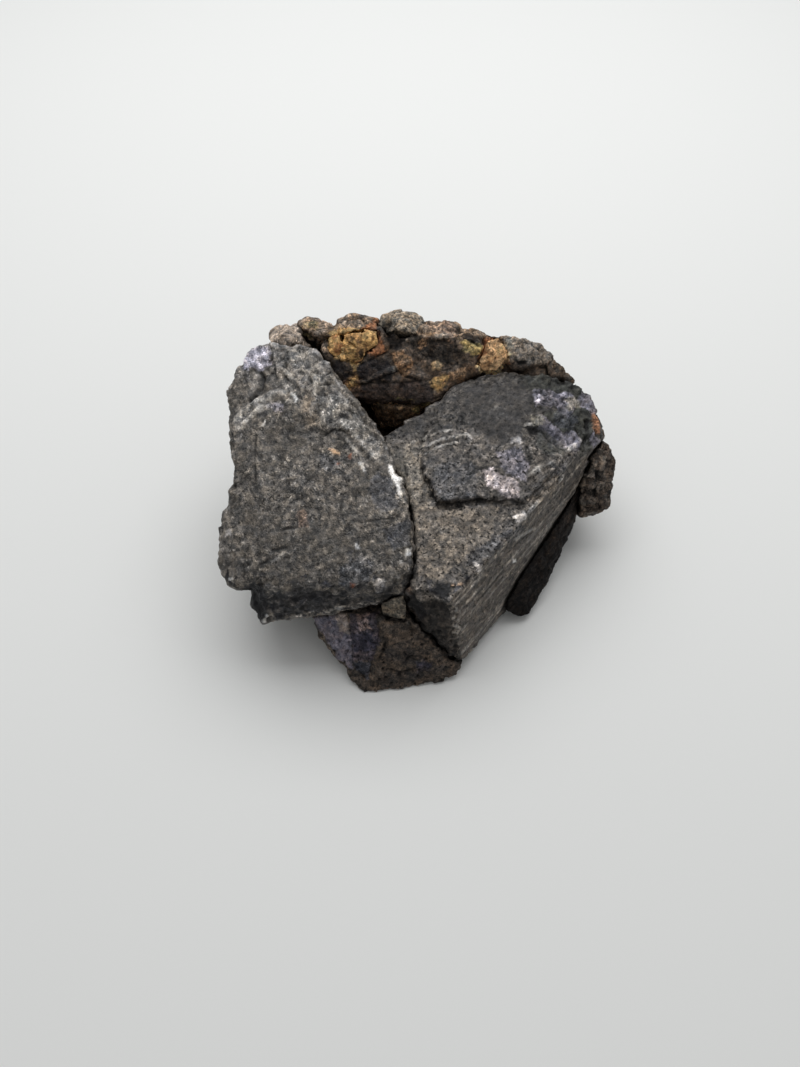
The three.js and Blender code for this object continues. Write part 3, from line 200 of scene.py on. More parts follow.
    ("ochre_yellow", "matrix_crust", [(-21.9, 27.6, 26.3), (-19.3, 20.0, 33.8), (-20.0, 27.1, 23.9), (-21.6, 27.6, 23.4)]),
    ("ochre_brown", "matrix_crust", [(-18.3, 19.4, 32.9), (-15.0, 19.8, 33.7), (-14.1, 18.3, 31.5), (-16.1, 24.8, 20.2), (-17.9, 25.4, 21.0)]),
    ("ochre_yellow", "matrix_crust", [(-17.4, 19.6, 33.3), (-15.4, 19.7, 33.5), (-15.2, 18.6, 31.9), (-17.0, 18.5, 31.7)]),
    ("rust_spot", "matrix_crust", [(-5.8, 34.9, 34.2), (-3.2, 34.6, 34.5), (-3.2, 34.6, 32.7), (-5.3, 34.7, 32.3)]),
    ("rust_weak", "matrix_crust", [(12.9, 29.3, 37.2), (16.5, 28.4, 36.3), (13.4, 28.4, 36.3)]),
    ("rust_weak", "matrix_crust", [(-0.3, 32.6, 35.4), (7.0, 28.9, 38.5), (6.9, 26.0, 39.4), (-0.1, 25.6, 39.7)]),
    ("dark", "matrix_crust", [(-10.1, 26.5, 40.7), (-6.7, 34.7, 33.2), (-6.2, 23.6, 37.8), (-8.8, 23.1, 37.4), (-10.3, 25.0, 38.3)]),
    ("navy", "matrix_crust", [(-19.3, 21.4, 36.1), (-17.1, 21.6, 36.2), (-16.9, 19.4, 33.0), (-19.5, 27.0, 24.0)]),
    ("navy", "matrix_crust", [(-15.1, 21.1, 35.5), (-11.9, 22.0, 36.4), (-7.5, 21.9, 35.9), (-7.5, 19.3, 33.0), (-14.1, 19.1, 32.6)]),
    ("dark", "matrix_crust", [(7.0, 27.2, 38.9), (13.3, 28.8, 36.8), (13.0, 26.8, 34.8), (9.5, 25.1, 38.2)]),
    ("shelf", "matrix_crust", [(-16.3, 18.4, 31.5), (-11.0, 18.9, 32.5), (-2.7, 19.4, 32.9), (1.7, 18.4, 31.4), (1.8, 16.6, 28.9), (-16.1, 24.4, 20.0)]),
    ("dark", "matrix_crust", [(-24.5, 27.9, 37.6), (-24.6, 28.2, 34.4), (-27.3, 31.2, 30.9)]),
    ("dark", "matrix_crust", [(-25.5, 28.3, 34.6), (-22.5, 28.4, 35.7), (-21.4, 22.6, 37.6), (-23.9, 28.0, 31.2)]),
    ("green_rim", "matrix_crust", [(-27.2, 30.9, 39.0), (-23.8, 30.3, 39.5), (-23.7, 27.9, 40.2), (-26.9, 28.9, 39.3)]),
    ("pink_rim", "matrix_crust", [(-27.4, 29.8, 39.1), (-21.8, 28.6, 39.6), (-21.4, 26.8, 37.2), (-24.0, 28.6, 36.1), (-26.4, 28.0, 39.3)]),
    ("grey_dome", "matrix_crust", [(17.2, 27.9, 37.3), (20.8, 28.3, 37.0), (25.6, 28.8, 34.8), (28.5, 28.2, 32.6), (28.7, 26.5, 31.8), (23.2, 24.1, 33.2), (18.9, 23.4, 35.1)]),
    ("teal", "matrix_crust", [(16.5, 28.4, 36.3), (18.6, 27.8, 37.1), (18.9, 25.7, 36.4), (17.5, 27.6, 34.0)]),
    ("ochre_green", "matrix_crust", [(-1.9, 25.4, 16.9), (-0.1, 25.8, 18.5), (1.3, 16.2, 29.0), (0.8, 23.1, 19.0), (-1.0, 25.0, 15.2)]),
    ("ochre_green", "cavity_crystal", [(-3.1, 17.2, 26.1), (-1.3, 18.3, 26.5), (-1.2, 17.4, 25.2), (-2.6, 17.2, 24.4)]),
    ("chip_light", "corner_crystal", [(34.6, 6.5, 14.6), (35.7, 4.4, 18.7), (36.3, 2.9, 17.0), (35.1, 4.3, 13.0)]),
    ("chip_light", "corner_crystal", [(34.9, 3.4, 12.0), (35.7, 1.5, 14.1), (36.6, -0.3, 11.6), (35.1, 0.3, 11.6)]),
    ("dark_pit", "corner_crystal", [(37.3, 4.4, 20.1), (38.8, 5.0, 19.4), (38.9, 3.5, 17.7), (37.9, 2.8, 17.8)]),
    ("dark_pit", "corner_crystal", [(37.2, 2.2, 16.5), (38.8, 2.0, 16.0), (38.2, 0.7, 14.8), (37.1, 1.2, 14.8)]),
    ("dark_pit", "corner_crystal", [(35.2, 12.2, 14.9), (36.6, 11.1, 17.0), (36.0, 5.8, 18.4), (34.9, 7.5, 14.9)]),
    ("chip_light", "corner_crystal", [(38.4, 7.6, 21.2), (40.4, 8.3, 20.3), (40.4, 6.8, 19.3), (38.8, 5.7, 20.0)]),
    ("dark_edge", "corner_crystal", [(35.1, 0.3, 11.6), (40.8, 1.3, 13.2), (41.0, 0.2, 11.6)]),
]


# ---------------------------------------------------------------- noise
def _hash(i, j, k, seed):
    h = (i * 374761393 + j * 668265263 + k * 1103515245 + seed * 1274126177) & 0xFFFFFFFF
    h = ((h ^ (h >> 13)) * 1274126177) & 0xFFFFFFFF
    h = h ^ (h >> 16)
    h = (h * 747796405) & 0xFFFFFFFF
    return h ^ (h >> 15)


def gnoise(q, seed=0):
    """Gradient noise, about -1 to 1."""
    i = np.floor(q).astype(np.int64)
    f = q - i
    u = f * f * f * (f * (f * 6 - 15) + 10)
    out = np.zeros(len(q))
    for dx in (0, 1):
        for dy in (0, 1):
            for dz in (0, 1):
                h = _hash(i[:, 0] + dx, i[:, 1] + dy, i[:, 2] + dz, seed)
                d = (((h & 1023) / 511.5 - 1) * (f[:, 0] - dx)
                     + (((h >> 10) & 1023) / 511.5 - 1) * (f[:, 1] - dy)
                     + (((h >> 20) & 1023) / 511.5 - 1) * (f[:, 2] - dz))
                w = ((u[:, 0] if dx else 1 - u[:, 0]) * (u[:, 1] if dy else 1 - u[:, 1])
                     * (u[:, 2] if dz else 1 - u[:, 2]))
                out += w * d
    return out * 1.35


def fbm(p, size, octaves=4, seed=0, gain=0.5):
    total, amp, norm = np.zeros(len(p)), 1.0, 0.0
    for o in range(octaves):
        total += amp * gnoise(p / size * 2 ** o + 17.31 * (o + 1), seed + 7 * o)
        norm += amp
        amp *= gain
    return total / norm


def cells(p, size, seed=0):
    """Distance to the nearest and second nearest seed, and a random number of the nearest."""
    q = p / size
    i = np.floor(q).astype(np.int64)
    f1, f2 = np.full(len(q), 9.0), np.full(len(q), 9.0)
    rnd = np.zeros(len(q))
    for dx in (-1, 0, 1):
        for dy in (-1, 0, 1):
            for dz in (-1, 0, 1):
                a, b, c = i[:, 0] + dx, i[:, 1] + dy, i[:, 2] + dz
                h = _hash(a, b, c, seed)
                s = np.stack([a + (h & 1023) / 1023.0, b + ((h >> 10) & 1023) / 1023.0,
                              c + ((h >> 20) & 1023) / 1023.0], 1)
                d = np.linalg.norm(q - s, axis=1)
                near = d < f1
                f2 = np.where(near, f1, np.minimum(f2, d))
                rnd = np.where(near, ((h >> 5) & 4095) / 4095.0, rnd)
                f1 = np.where(near, d, f1)
    return f1, f2, rnd


def bricks(p, axes, size, seed=0, wobble=0.25):
    """A random number per brick of a brick grid along a crystal's cleavage directions."""
    q = p @ axes.T / np.asarray(size, float)
    q = q + wobble * np.stack([gnoise(q * 0.6 + 3.1 * s, seed + s) for s in range(3)], 1)
    i = np.floor(q).astype(np.int64)
    row = _hash(i[:, 2], i[:, 2] * 0, i[:, 2] * 0, seed + 5) & 1023
    q1 = q[:, 1] + row / 1023.0
    i1 = np.floor(q1).astype(np.int64)
    h = _hash(i[:, 0], i1, i[:, 2], seed)
    return (h & 65535) / 65535.0


def facets(p, size, seed=0, warp=0.35):
    """Relief of broken stone: every cell is a flat facet with its own tilt. Height in cell sizes, and a number per facet."""
    q = p / size
    q = q + warp * np.stack([gnoise(q * 0.7 + 4.7 * k, seed + k) for k in range(3)], 1)
    i = np.floor(q).astype(np.int64)
    best, height, rnd = np.full(len(q), 9.0), np.zeros(len(q)), np.zeros(len(q))
    for dx in (-1, 0, 1):
        for dy in (-1, 0, 1):
            for dz in (-1, 0, 1):
                a, b, c = i[:, 0] + dx, i[:, 1] + dy, i[:, 2] + dz
                h = _hash(a, b, c, seed)
                g = _hash(a, b, c, seed + 331)
                v = q - np.stack([a + (h & 1023) / 1023.0, b + ((h >> 10) & 1023) / 1023.0,
                                  c + ((h >> 20) & 1023) / 1023.0], 1)
                tilt = np.stack([(g & 1023) / 511.5 - 1, ((g >> 10) & 1023) / 511.5 - 1, ((g >> 20) & 1023) / 511.5 - 1], 1)
                d = np.einsum("ij,ij->i", v, v)
                near = d < best
                best = np.where(near, d, best)
                height = np.where(near, np.einsum("ij,ij->i", v, tilt), height)
                rnd = np.where(near, ((h >> 5) & 4095) / 4095.0, rnd)
    return height, rnd


def terrace(c, step, sharp=0.8, phase=0.0):
    """How far to move a coordinate so that a slope becomes treads and risers."""
    q = c / step + phase
    base = np.floor(q)
    f = q - base
    g = np.clip((f - 0.5) / (1 - sharp) + 0.5, 0, 1)
    return (g - f) * step


def smooth(a, b, x):
    t = np.clip((x - a) / (b - a), 0, 1)
    return t * t * (3 - 2 * t)


def unit(v):
    v = np.asarray(v, float)
    return v / np.linalg.norm(v)


def frame_of(n, along):
    """Cleavage directions of a crystal: its main face's normal and a direction in that face."""
    n = unit(n)
    a = unit(np.asarray(along, float) - n * np.dot(n, along))
    return np.stack([a, np.cross(n, a), n])


def lin(c):
    """sRGB 0-255 to linear."""
    c = np.asarray(c, float) / 255.0
    return np.where(c <= 0.04045, c / 12.92, ((c + 0.055) / 1.055) ** 2.4)


# ---------------------------------------------------------------- mesh helpers
def remesh(node, voxel):
    """A fine copy of a CAD node, in millimetres."""
    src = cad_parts[node]
    mesh = src.data.copy()
    mesh.materials.clear()
    mesh.transform(((1000, 0, 0, 0), (0, 1000, 0, 0), (0, 0, 1000, 0), (0, 0, 0, 1)))
    obj = bpy.data.objects.new("tmp_" + node, mesh)
    bpy.context.scene.collection.objects.link(obj)
    weld = obj.modifiers.new("weld", "WELD")
    weld.merge_threshold = 0.001
    m = obj.modifiers.new("voxel", "REMESH")
    m.mode = "VOXEL"
    m.voxel_size = voxel
    m.adaptivity = 0.0
    bpy.context.view_layer.update()
    dg = bpy.context.evaluated_depsgraph_get()
    out = bpy.data.meshes.new_from_object(obj.evaluated_get(dg))
    bpy.data.objects.remove(obj)
    return out


def coords(mesh):
    co = np.zeros(len(mesh.vertices) * 3)
    mesh.vertices.foreach_get("co", co)
    return co.reshape(-1, 3)


def set_coords(mesh, p):
    mesh.vertices.foreach_set("co", p.astype(np.float32).ravel())
    mesh.update()


def normals(mesh):
    n = np.zeros(len(mesh.vertices) * 3)
    mesh.vertices.foreach_get("normal", n)
    return n.reshape(-1, 3)


def edges_of(mesh):
    e = np.zeros(len(mesh.edges) * 2, np.int64)
    mesh.edges.foreach_get("vertices", e)
    return e.reshape(-1, 2)


def blur(v, e, times, n):
    """Average a per-vertex value over its neighbours."""
    deg = np.bincount(e.ravel(), minlength=n).astype(float) + 1
    v = v.copy()
    for _ in range(times):
        if v.ndim == 1:
            acc = v + np.bincount(e[:, 0], v[e[:, 1]], n) + np.bincount(e[:, 1], v[e[:, 0]], n)
            v = acc / deg
        else:
            v = np.stack([blur(v[:, k], e, 1, n) for k in range(v.shape[1])], 1)
    return v


def line_distance(p, pts):
    best = np.full(len(p), 1e9)
    where = np.zeros(len(p))
    pts = np.asarray(pts, float)
    for k, (a, b) in enumerate(zip(pts[:-1], pts[1:])):
        ab = b - a
        t = np.clip((p - a) @ ab / max(ab @ ab, 1e-9), 0, 1)
        d = np.linalg.norm(p - a - t[:, None] * ab, axis=1)
        near = d < best
        best = np.where(near, d, best)
        where = np.where(near, (k + t) / (len(pts) - 1), where)
    return best, where


def patch_distance(p, poly):
    """Signed distance in mm to a patch's edge, measured in the patch's own plane; inside is positive."""
    poly = np.asarray(poly, float)
    c = poly.mean(0)
    _, _, vt = np.linalg.svd(poly - c)
    reach = np.linalg.norm(poly - c, axis=1).max()
    sd = np.full(len(p), -9.0)
    rel = p - c
    near = (np.linalg.norm(rel, axis=1) < reach + 3) & (np.abs(rel @ vt[2]) < 1.2 + 0.6 * reach)
    if not near.any():
        return sd
    q = rel[near] @ vt[:2].T
    v = (poly - c) @ vt[:2].T
    inside = np.zeros(len(q), bool)
    dist = np.full(len(q), 1e9)
    for a, b in zip(v, np.roll(v, -1, 0)):
        ab = b - a
        t = np.clip((q - a) @ ab / max(ab @ ab, 1e-9), 0, 1)
        dist = np.minimum(dist, np.linalg.norm(q - a - t[:, None] * ab, axis=1))
        cross = (a[1] > q[:, 1]) != (b[1] > q[:, 1])
        with np.errstate(divide="ignore", invalid="ignore"):
            x = (b[0] - a[0]) * (q[:, 1] - a[1]) / (b[1] - a[1] + 1e-12) + a[0]
        inside ^= cross & (q[:, 0] < x)
    sd[near] = np.where(inside, dist, -dist)
    return sd


# ---------------------------------------------------------------- patches: colour, share, metal, roughness, mottling, relief mm
PATCH = {
    "glint_white": ((244, 240, 234), 0.94, 0.75, 0.30, 0.15, 0.0, 0.25),
    "glint_pink": ((206, 194, 192), 0.85, 0.60, 0.34, 0.9, 0.1, 0.5),
    "glint_orange": ((232, 196, 160), 0.95, 0.50, 0.35, 0.1, 0.05, 0.15),
    "glint_line": ((238, 236, 232), 0.95, 0.75, 0.30, 0.1, 0.05, 0.12),
    "glint_soft": ((196, 192, 190), 0.80, 0.60, 0.34, 0.4, 0.05, 0.3),
    "lilac": ((206, 202, 214), 0.80, 0.25, 0.42, 1.0, 0.05, 0.9),
    "lilac_weak": ((132, 129, 140), 0.50, 0.20, 0.45, 1.4, 0.0, 0.9),
    "blue": ((70, 73, 80), 0.60, 0.40, 0.38, 0.9, -0.06, 0.8),
    "blue_weak": ((66, 70, 77), 0.45, 0.35, 0.42, 1.4, 0.0, 0.9),
    "dark": ((26, 25, 27), 0.85, 0.25, 0.55, 0.6, -0.35, 0.5),
    "dark_weak": ((52, 50, 50), 0.55, 0.20, 0.60, 1.0, -0.05, 0.7),
    "light_weak": ((166, 162, 156), 0.50, 0.10, 0.65, 1.0, 0.05, 0.7),
    "brown_weak": ((150, 138, 124), 0.50, 0.05, 0.75, 1.0, 0.0, 0.9),
    "rust_spot": ((158, 94, 62), 0.75, 0.0, 0.80, 0.5, 0.05, 0.2),
    "rust_weak": ((144, 120, 104), 0.42, 0.0, 0.80, 1.0, 0.0, 0.9),
    "olive_dark": ((66, 67, 62), 0.65, 0.25, 0.45, 0.8, -0.10, 0.6),
    "olive": ((152, 147, 134), 0.62, 0.05, 0.65, 0.9, 0.0, 0.7),
    "dark_pit": ((20, 19, 19), 0.85, 0.05, 0.75, 1.0, -0.55, 0.5),
    "smooth_dark": ((57, 55, 54), 0.62, 0.25, 0.48, 0.6, 0.0, 0.9),
    "light_band": ((146, 138, 127), 0.65, 0.05, 0.62, 1.0, 0.0, 0.6),
    "light_brown": ((120, 112, 102), 0.60, 0.05, 0.68, 1.0, 0.0, 0.6),
    "lilac_face": ((118, 116, 128), 0.85, 0.20, 0.50, 0.6, 0.0, 0.4),
    "brown_light": ((156, 148, 142), 0.75, 0.10, 0.60, 0.7, 0.0, 0.5),
    "purple": ((78, 74, 84), 0.75, 0.15, 0.55, 1.0, 0.0, 0.5),
    "pinkish": ((150, 132, 126), 0.70, 0.10, 0.60, 1.0, 0.0, 0.5),
    "blue_dark": ((48, 50, 66), 0.75, 0.30, 0.45, 0.9, -0.1, 0.6),
    "blue_grey_dark": ((64, 68, 78), 0.75, 0.20, 0.50, 1.0, -0.05, 0.6),
    "ochre_yellow": ((204, 172, 122), 0.85, 0.0, 0.85, 0.8, 0.20, 0.7),
    "ochre_orange": ((160, 114, 84), 0.80, 0.0, 0.85, 0.8, 0.15, 0.6),
    "ochre_brown": ((154, 126, 100), 0.75, 0.0, 0.88, 1.3, 0.15, 0.7),
    "ochre_cream": ((196, 174, 142), 0.85, 0.0, 0.85, 0.8, 0.20, 0.4),
    "ochre_green": ((184, 168, 118), 0.85, 0.0, 0.85, 1.0, 0.10, 0.4),
    # dark_band is painted shade on the front band of the left crystal
    "dark_band": ((38, 38, 42), 0.80, 0.25, 0.48, 1.0, -0.25, 0.6),
    "dark_wall": ((50, 46, 43), 0.85, 0.20, 0.48, 0.9, -0.25, 0.5),
    "glint_dim": ((150, 148, 144), 0.70, 0.50, 0.35, 0.4, 0.05, 0.2),
    "ochre_bright": ((250, 228, 184), 0.92, 0.0, 0.82, 0.8, 0.15, 0.5),
    # notch is painted shade, nearly black, in the notches at the front
    "notch": ((13, 14, 19), 0.97, 0.20, 0.42, 0.5, -0.15, 0.5),
    "navy": ((30, 31, 38), 0.80, 0.25, 0.42, 0.9, 0.05, 0.9),
    "shelf": ((62, 54, 53), 0.78, 0.15, 0.50, 0.8, 0.0, 0.4),
    "green_rim": ((124, 118, 84), 0.55, 0.0, 0.80, 1.0, 0.0, 0.6),
    "pink_rim": ((164, 150, 140), 0.70, 0.05, 0.75, 1.2, 0.0, 0.6),
    "grey_dome": ((142, 138, 133), 0.85, 0.15, 0.60, 0.8, 0.0, 0.4),
    "teal": ((126, 132, 130), 0.65, 0.15, 0.55, 0.8, 0.0, 0.4),
    "chip_light": ((132, 124, 114), 0.75, 0.10, 0.60, 0.6, 0.10, 0.3),
    "dark_edge": ((44, 40, 38), 0.60, 0.10, 0.70, 1.0, 0.0, 0.5),
}


def neighbours(node):
    """One search tree over the CAD surfaces of all the other pieces, in millimetres."""
    vs, fs = [], []
    for name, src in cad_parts.items():
        if name == node:
            continue
        base = len(vs)
        vs += [tuple(1000 * c for c in (src.matrix_world @ v.co)) for v in src.data.vertices]
        fs += [[base + i for i in f.vertices] for f in src.data.polygons]
    return BVHTree.FromPolygons(vs, fs)


class Surface:
    """A remeshed node with its points, normals and the values that its material reads."""

    def __init__(self, node, voxel):
        self.node = node
        self.mesh = remesh(node, voxel)
        self.p = coords(self.mesh)
        self.n = normals(self.mesh)
        self.e = edges_of(self.mesh)
        self.count = len(self.p)
        self.rest = self.p.copy()
        self.rn = blur(self.n, self.e, 2, self.count)
        self.rn /= np.linalg.norm(self.rn, axis=1)[:, None] + 1e-9
        flat = blur(self.p, self.e, 6, self.count)
        self.convex = np.einsum("ij,ij->i", self.p - flat, self.rn)
        self.col = np.ones((self.count, 3))
        self.met = np.zeros(self.count)
        self.rgh = np.full(self.count, 0.6)
        self.mot = np.ones(self.count)

    def faces(self, direction, tight=0.94, soft=0.86):
        return smooth(soft, tight, self.rn @ unit(direction))

    def move(self, d):
        self.p = self.p + self.n * d[:, None]

    def refresh(self):
        set_coords(self.mesh, self.p)
        self.n = normals(self.mesh)

    def paint(self, mask, col, share=1.0, met=None, rgh=None, mot=None):
        m = (mask * share)[:, None]
        self.col = self.col * (1 - m) + lin(col) * m
        for name, v in (("met", met), ("rgh", rgh), ("mot", mot)):
            if v is not None:
                a = getattr(self, name)
                setattr(self, name, a * (1 - m[:, 0]) + v * m[:, 0])

    def shade(self, factor):
        self.col = self.col * factor[:, None]

    def cleave(self, axes, mask, step=1.6, sharp=0.8, warp=0.5, seed=0):
        """Stair-steps along the cleavage directions, in uneven patches."""
        for k in range(3):
            c = self.p @ axes[k] + warp * fbm(self.p, step * 3.5, 3, seed + k)
            q = c + 0.9 * step * gnoise(np.stack([c / (2.3 * step)] * 3, 1) + 5.5 * k, seed + 40 + k)
            shift = terrace(q, step * (1.0, 1.35, 0.8)[k], sharp, 0.31 * (seed + k))
            gate = smooth(-0.15, 0.35, fbm(self.rest, 7.0, 3, seed + 50 + k))
            w = mask * gate * np.abs(self.rn @ axes[k]) ** 0.5
            self.p = self.p + np.outer(shift * w, axes[k])

    def chip(self, amount, size=2.5, seed=0):
        """Sharp edges lose small chips."""
        edge = smooth(0.03, 0.22, self.convex)
        n = fbm(self.rest, size, 3, seed)
        self.move(-amount * edge * (0.12 + 1.3 * smooth(0.08, 0.35, n)))
        return edge

    def joint_shade_and_gap(self, reach=0.9, dark=0.8, open_=0.25):
        """Painted shade and some grime where this crystal meets another one, and a slightly open joint."""
        tree = neighbours(self.node)
        near = np.empty(self.count)
        for k, q in enumerate(self.rest):
            hit = tree.find_nearest(q, reach + 1.2)
            near[k] = hit[3] if hit[3] is not None else 9.0
        m = smooth(reach + 0.35, 0.25, near + 0.35 * gnoise(self.rest / 1.1, 95) + 0.2 * gnoise(self.rest / 0.5, 96))
        self.move(-open_ * m)
        self.shade(1 - dark * m)
        self.met *= 1 - m
        return m

    def vary(self, size=7.0, seed=99, amount=1.6):
        """Some parts of a face are dusty and speckled, others are nearly smooth."""
        self.mot *= np.clip(2 ** (amount * fbm(self.rest, size, 3, seed, 0.55)), 0.3, 1.7)

    def crevice_shade(self, dark=0.55):
        """Painted shade in the hollows of the broken surface, after all relief is made."""
        q = blur(self.p, self.e, 4, self.count)
        c = np.einsum("ij,ij->i", self.p - q, normals(self.mesh))
        self.shade(1 - dark * smooth(0.02, 0.13, -c))
        return c

    def rubbed_highlights(self, col=(158, 155, 152), share=0.6, seed=97):
        """Bare metal along the sharp edges in short broken runs, painted light as edge highlights."""
        n = fbm(self.rest, 2.2, 3, seed, 0.6)
        m = smooth(0.07, 0.17, self.convex) * smooth(-0.02, 0.14, n)
        self.paint(m, col, share, 0.35, 0.40, 0.7)

    def wear(self, mask, col, share=0.9, met=0.35, rgh=0.45, seed=0, size=2.4):
        """Dust lost in ragged patches: the more mask, the more of the dark face shows."""
        n = 0.62 * fbm(self.rest, size, 4, seed, 0.62) + 0.20 * fbm(self.rest, 0.8, 2, seed + 1)
        m = smooth(-0.07, 0.09, mask - 0.5 + n) * smooth(0.02, 0.15, mask)
        self.paint(m, col, share, met, rgh, None)
        self.move(-0.05 * m)
        return m

    def lines(self):
        warp = 0.18 * gnoise(self.rest / 0.9, 91) + 0.25 * gnoise(self.rest / 2.7, 92)
        vary = 0.75 + 0.45 * gnoise(self.rest / 1.7, 93)
        for kind, node, width, depth, pts in LINES:
            if node != self.node:
                continue
            d, t = line_distance(self.rest, pts)
            d = d + warp * min(width, 0.9)
            ends = smooth(0, 0.12, t) * smooth(0, 0.12, 1 - t) * 0.7 + 0.3
            if kind == "crack":
                g = np.clip(1 - d / (0.42 * width + 0.16), 0, 1) ** 0.8 * ends
                self.move(-depth * g * np.clip(vary, 0.2, 1.3))
                # painted shade inside the crack: its colour is darkened along the groove
                self.shade(1 - 0.85 * np.clip(g * 1.5 * np.clip(vary, 0.1, 1.2), 0, 1))
                self.met *= 1 - g
            else:
                g = smooth(0, 1, np.clip(1 - d / width, 0, 1)) * ends
                self.move(depth * g)
                # painted highlight along the ridge: its colour is lightened and painted pale
                self.shade(1 + 0.5 * g * np.clip(vary, 0.15, 1.3))
                gate = smooth(-0.25, 0.15, fbm(self.rest, 1.6, 3, 94, 0.6)) * smooth(0.25, 0.8, g)
                self.paint(gate, (172, 169, 164), 0.62, 0.35, 0.42, 0.8)

    def patches(self):
        w1 = gnoise(self.rest / 2.2, 71)
        w2 = gnoise(self.rest / 0.8, 72)
        w3 = gnoise(self.rest / 0.5, 73)
        shrink = {"rust_spot": -0.22, "glint_white": -0.20, "glint_pink": -0.1, "glint_orange": -0.15,
                  "glint_line": -0.08, "glint_soft": -0.12}
        for name, node, poly in PATCHES:
            if node != self.node:
                continue
            col, share, met, rgh, mot, relief, rough_edge = PATCH[name]
            sd = patch_distance(self.rest, poly)
            if sd.max() < -1:
                continue
            sd = sd + rough_edge * (0.8 * w1 + 0.9 * w2) + 0.30 * w3 + shrink.get(name, 0.0)
            m = smooth(-0.20, 0.24, sd)
            self.paint(m, col, share, met, rgh, mot)
            if relief:
                self.move(relief * smooth(-0.3, 0.7, sd))
            if name == "glint_pink":
                self.move(0.35 * m * (bricks(self.rest, AX_R, (1.1, 0.7, 0.9), 33) - 0.4))
                self.shade(1 + m * (bricks(self.rest, AX_R, (0.9, 0.6, 0.9), 34) - 0.55) * 0.9)

    def despike(self):
        """Slivers and spikes fall back to their neighbours; the rest of the relief stays."""
        e = self.rest[self.e]
        reach = np.median(np.linalg.norm(e[:, 0] - e[:, 1], axis=1))
        for _ in range(8):
            q = blur(self.p, self.e, 1, self.count)
            w = smooth(0.32, 0.70, np.linalg.norm(self.p - q, axis=1) / reach)[:, None]
            self.p = self.p * (1 - w) + q * w

    def finish(self, material, lift=0.0):
        self.despike()
        self.p = self.p + self.n * lift
        self.p[:, 2] = np.maximum(self.p[:, 2], 0.0)
        set_coords(self.mesh, self.p * 0.001)
        self.mesh.shade_smooth()
        col = np.ones((self.count, 4))
        col[:, :3] = np.clip(self.col, 0.0005, 1.0)
        a = self.mesh.attributes.new("Col", "FLOAT_COLOR", "POINT")
        a.data.foreach_set("color", col.astype(np.float32).ravel())
        for name, v in (("Met", self.met), ("Rgh", self.rgh), ("Mot", self.mot)):
            a = self.mesh.attributes.new(name, "FLOAT", "POINT")
            a.data.foreach_set("value", np.clip(v, 0, 2).astype(np.float32))
        obj = bpy.data.objects.new(self.node + "_stone", self.mesh)
        self.mesh.name = self.node + "_stone"
        bpy.context.scene.collection.objects.link(obj)
        self.mesh.materials.append(material)
        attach(obj, "root")
        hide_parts(self.node)
        print("piece", self.node, self.count, "verts", len(self.mesh.polygons) * 2, "tris")
        return obj


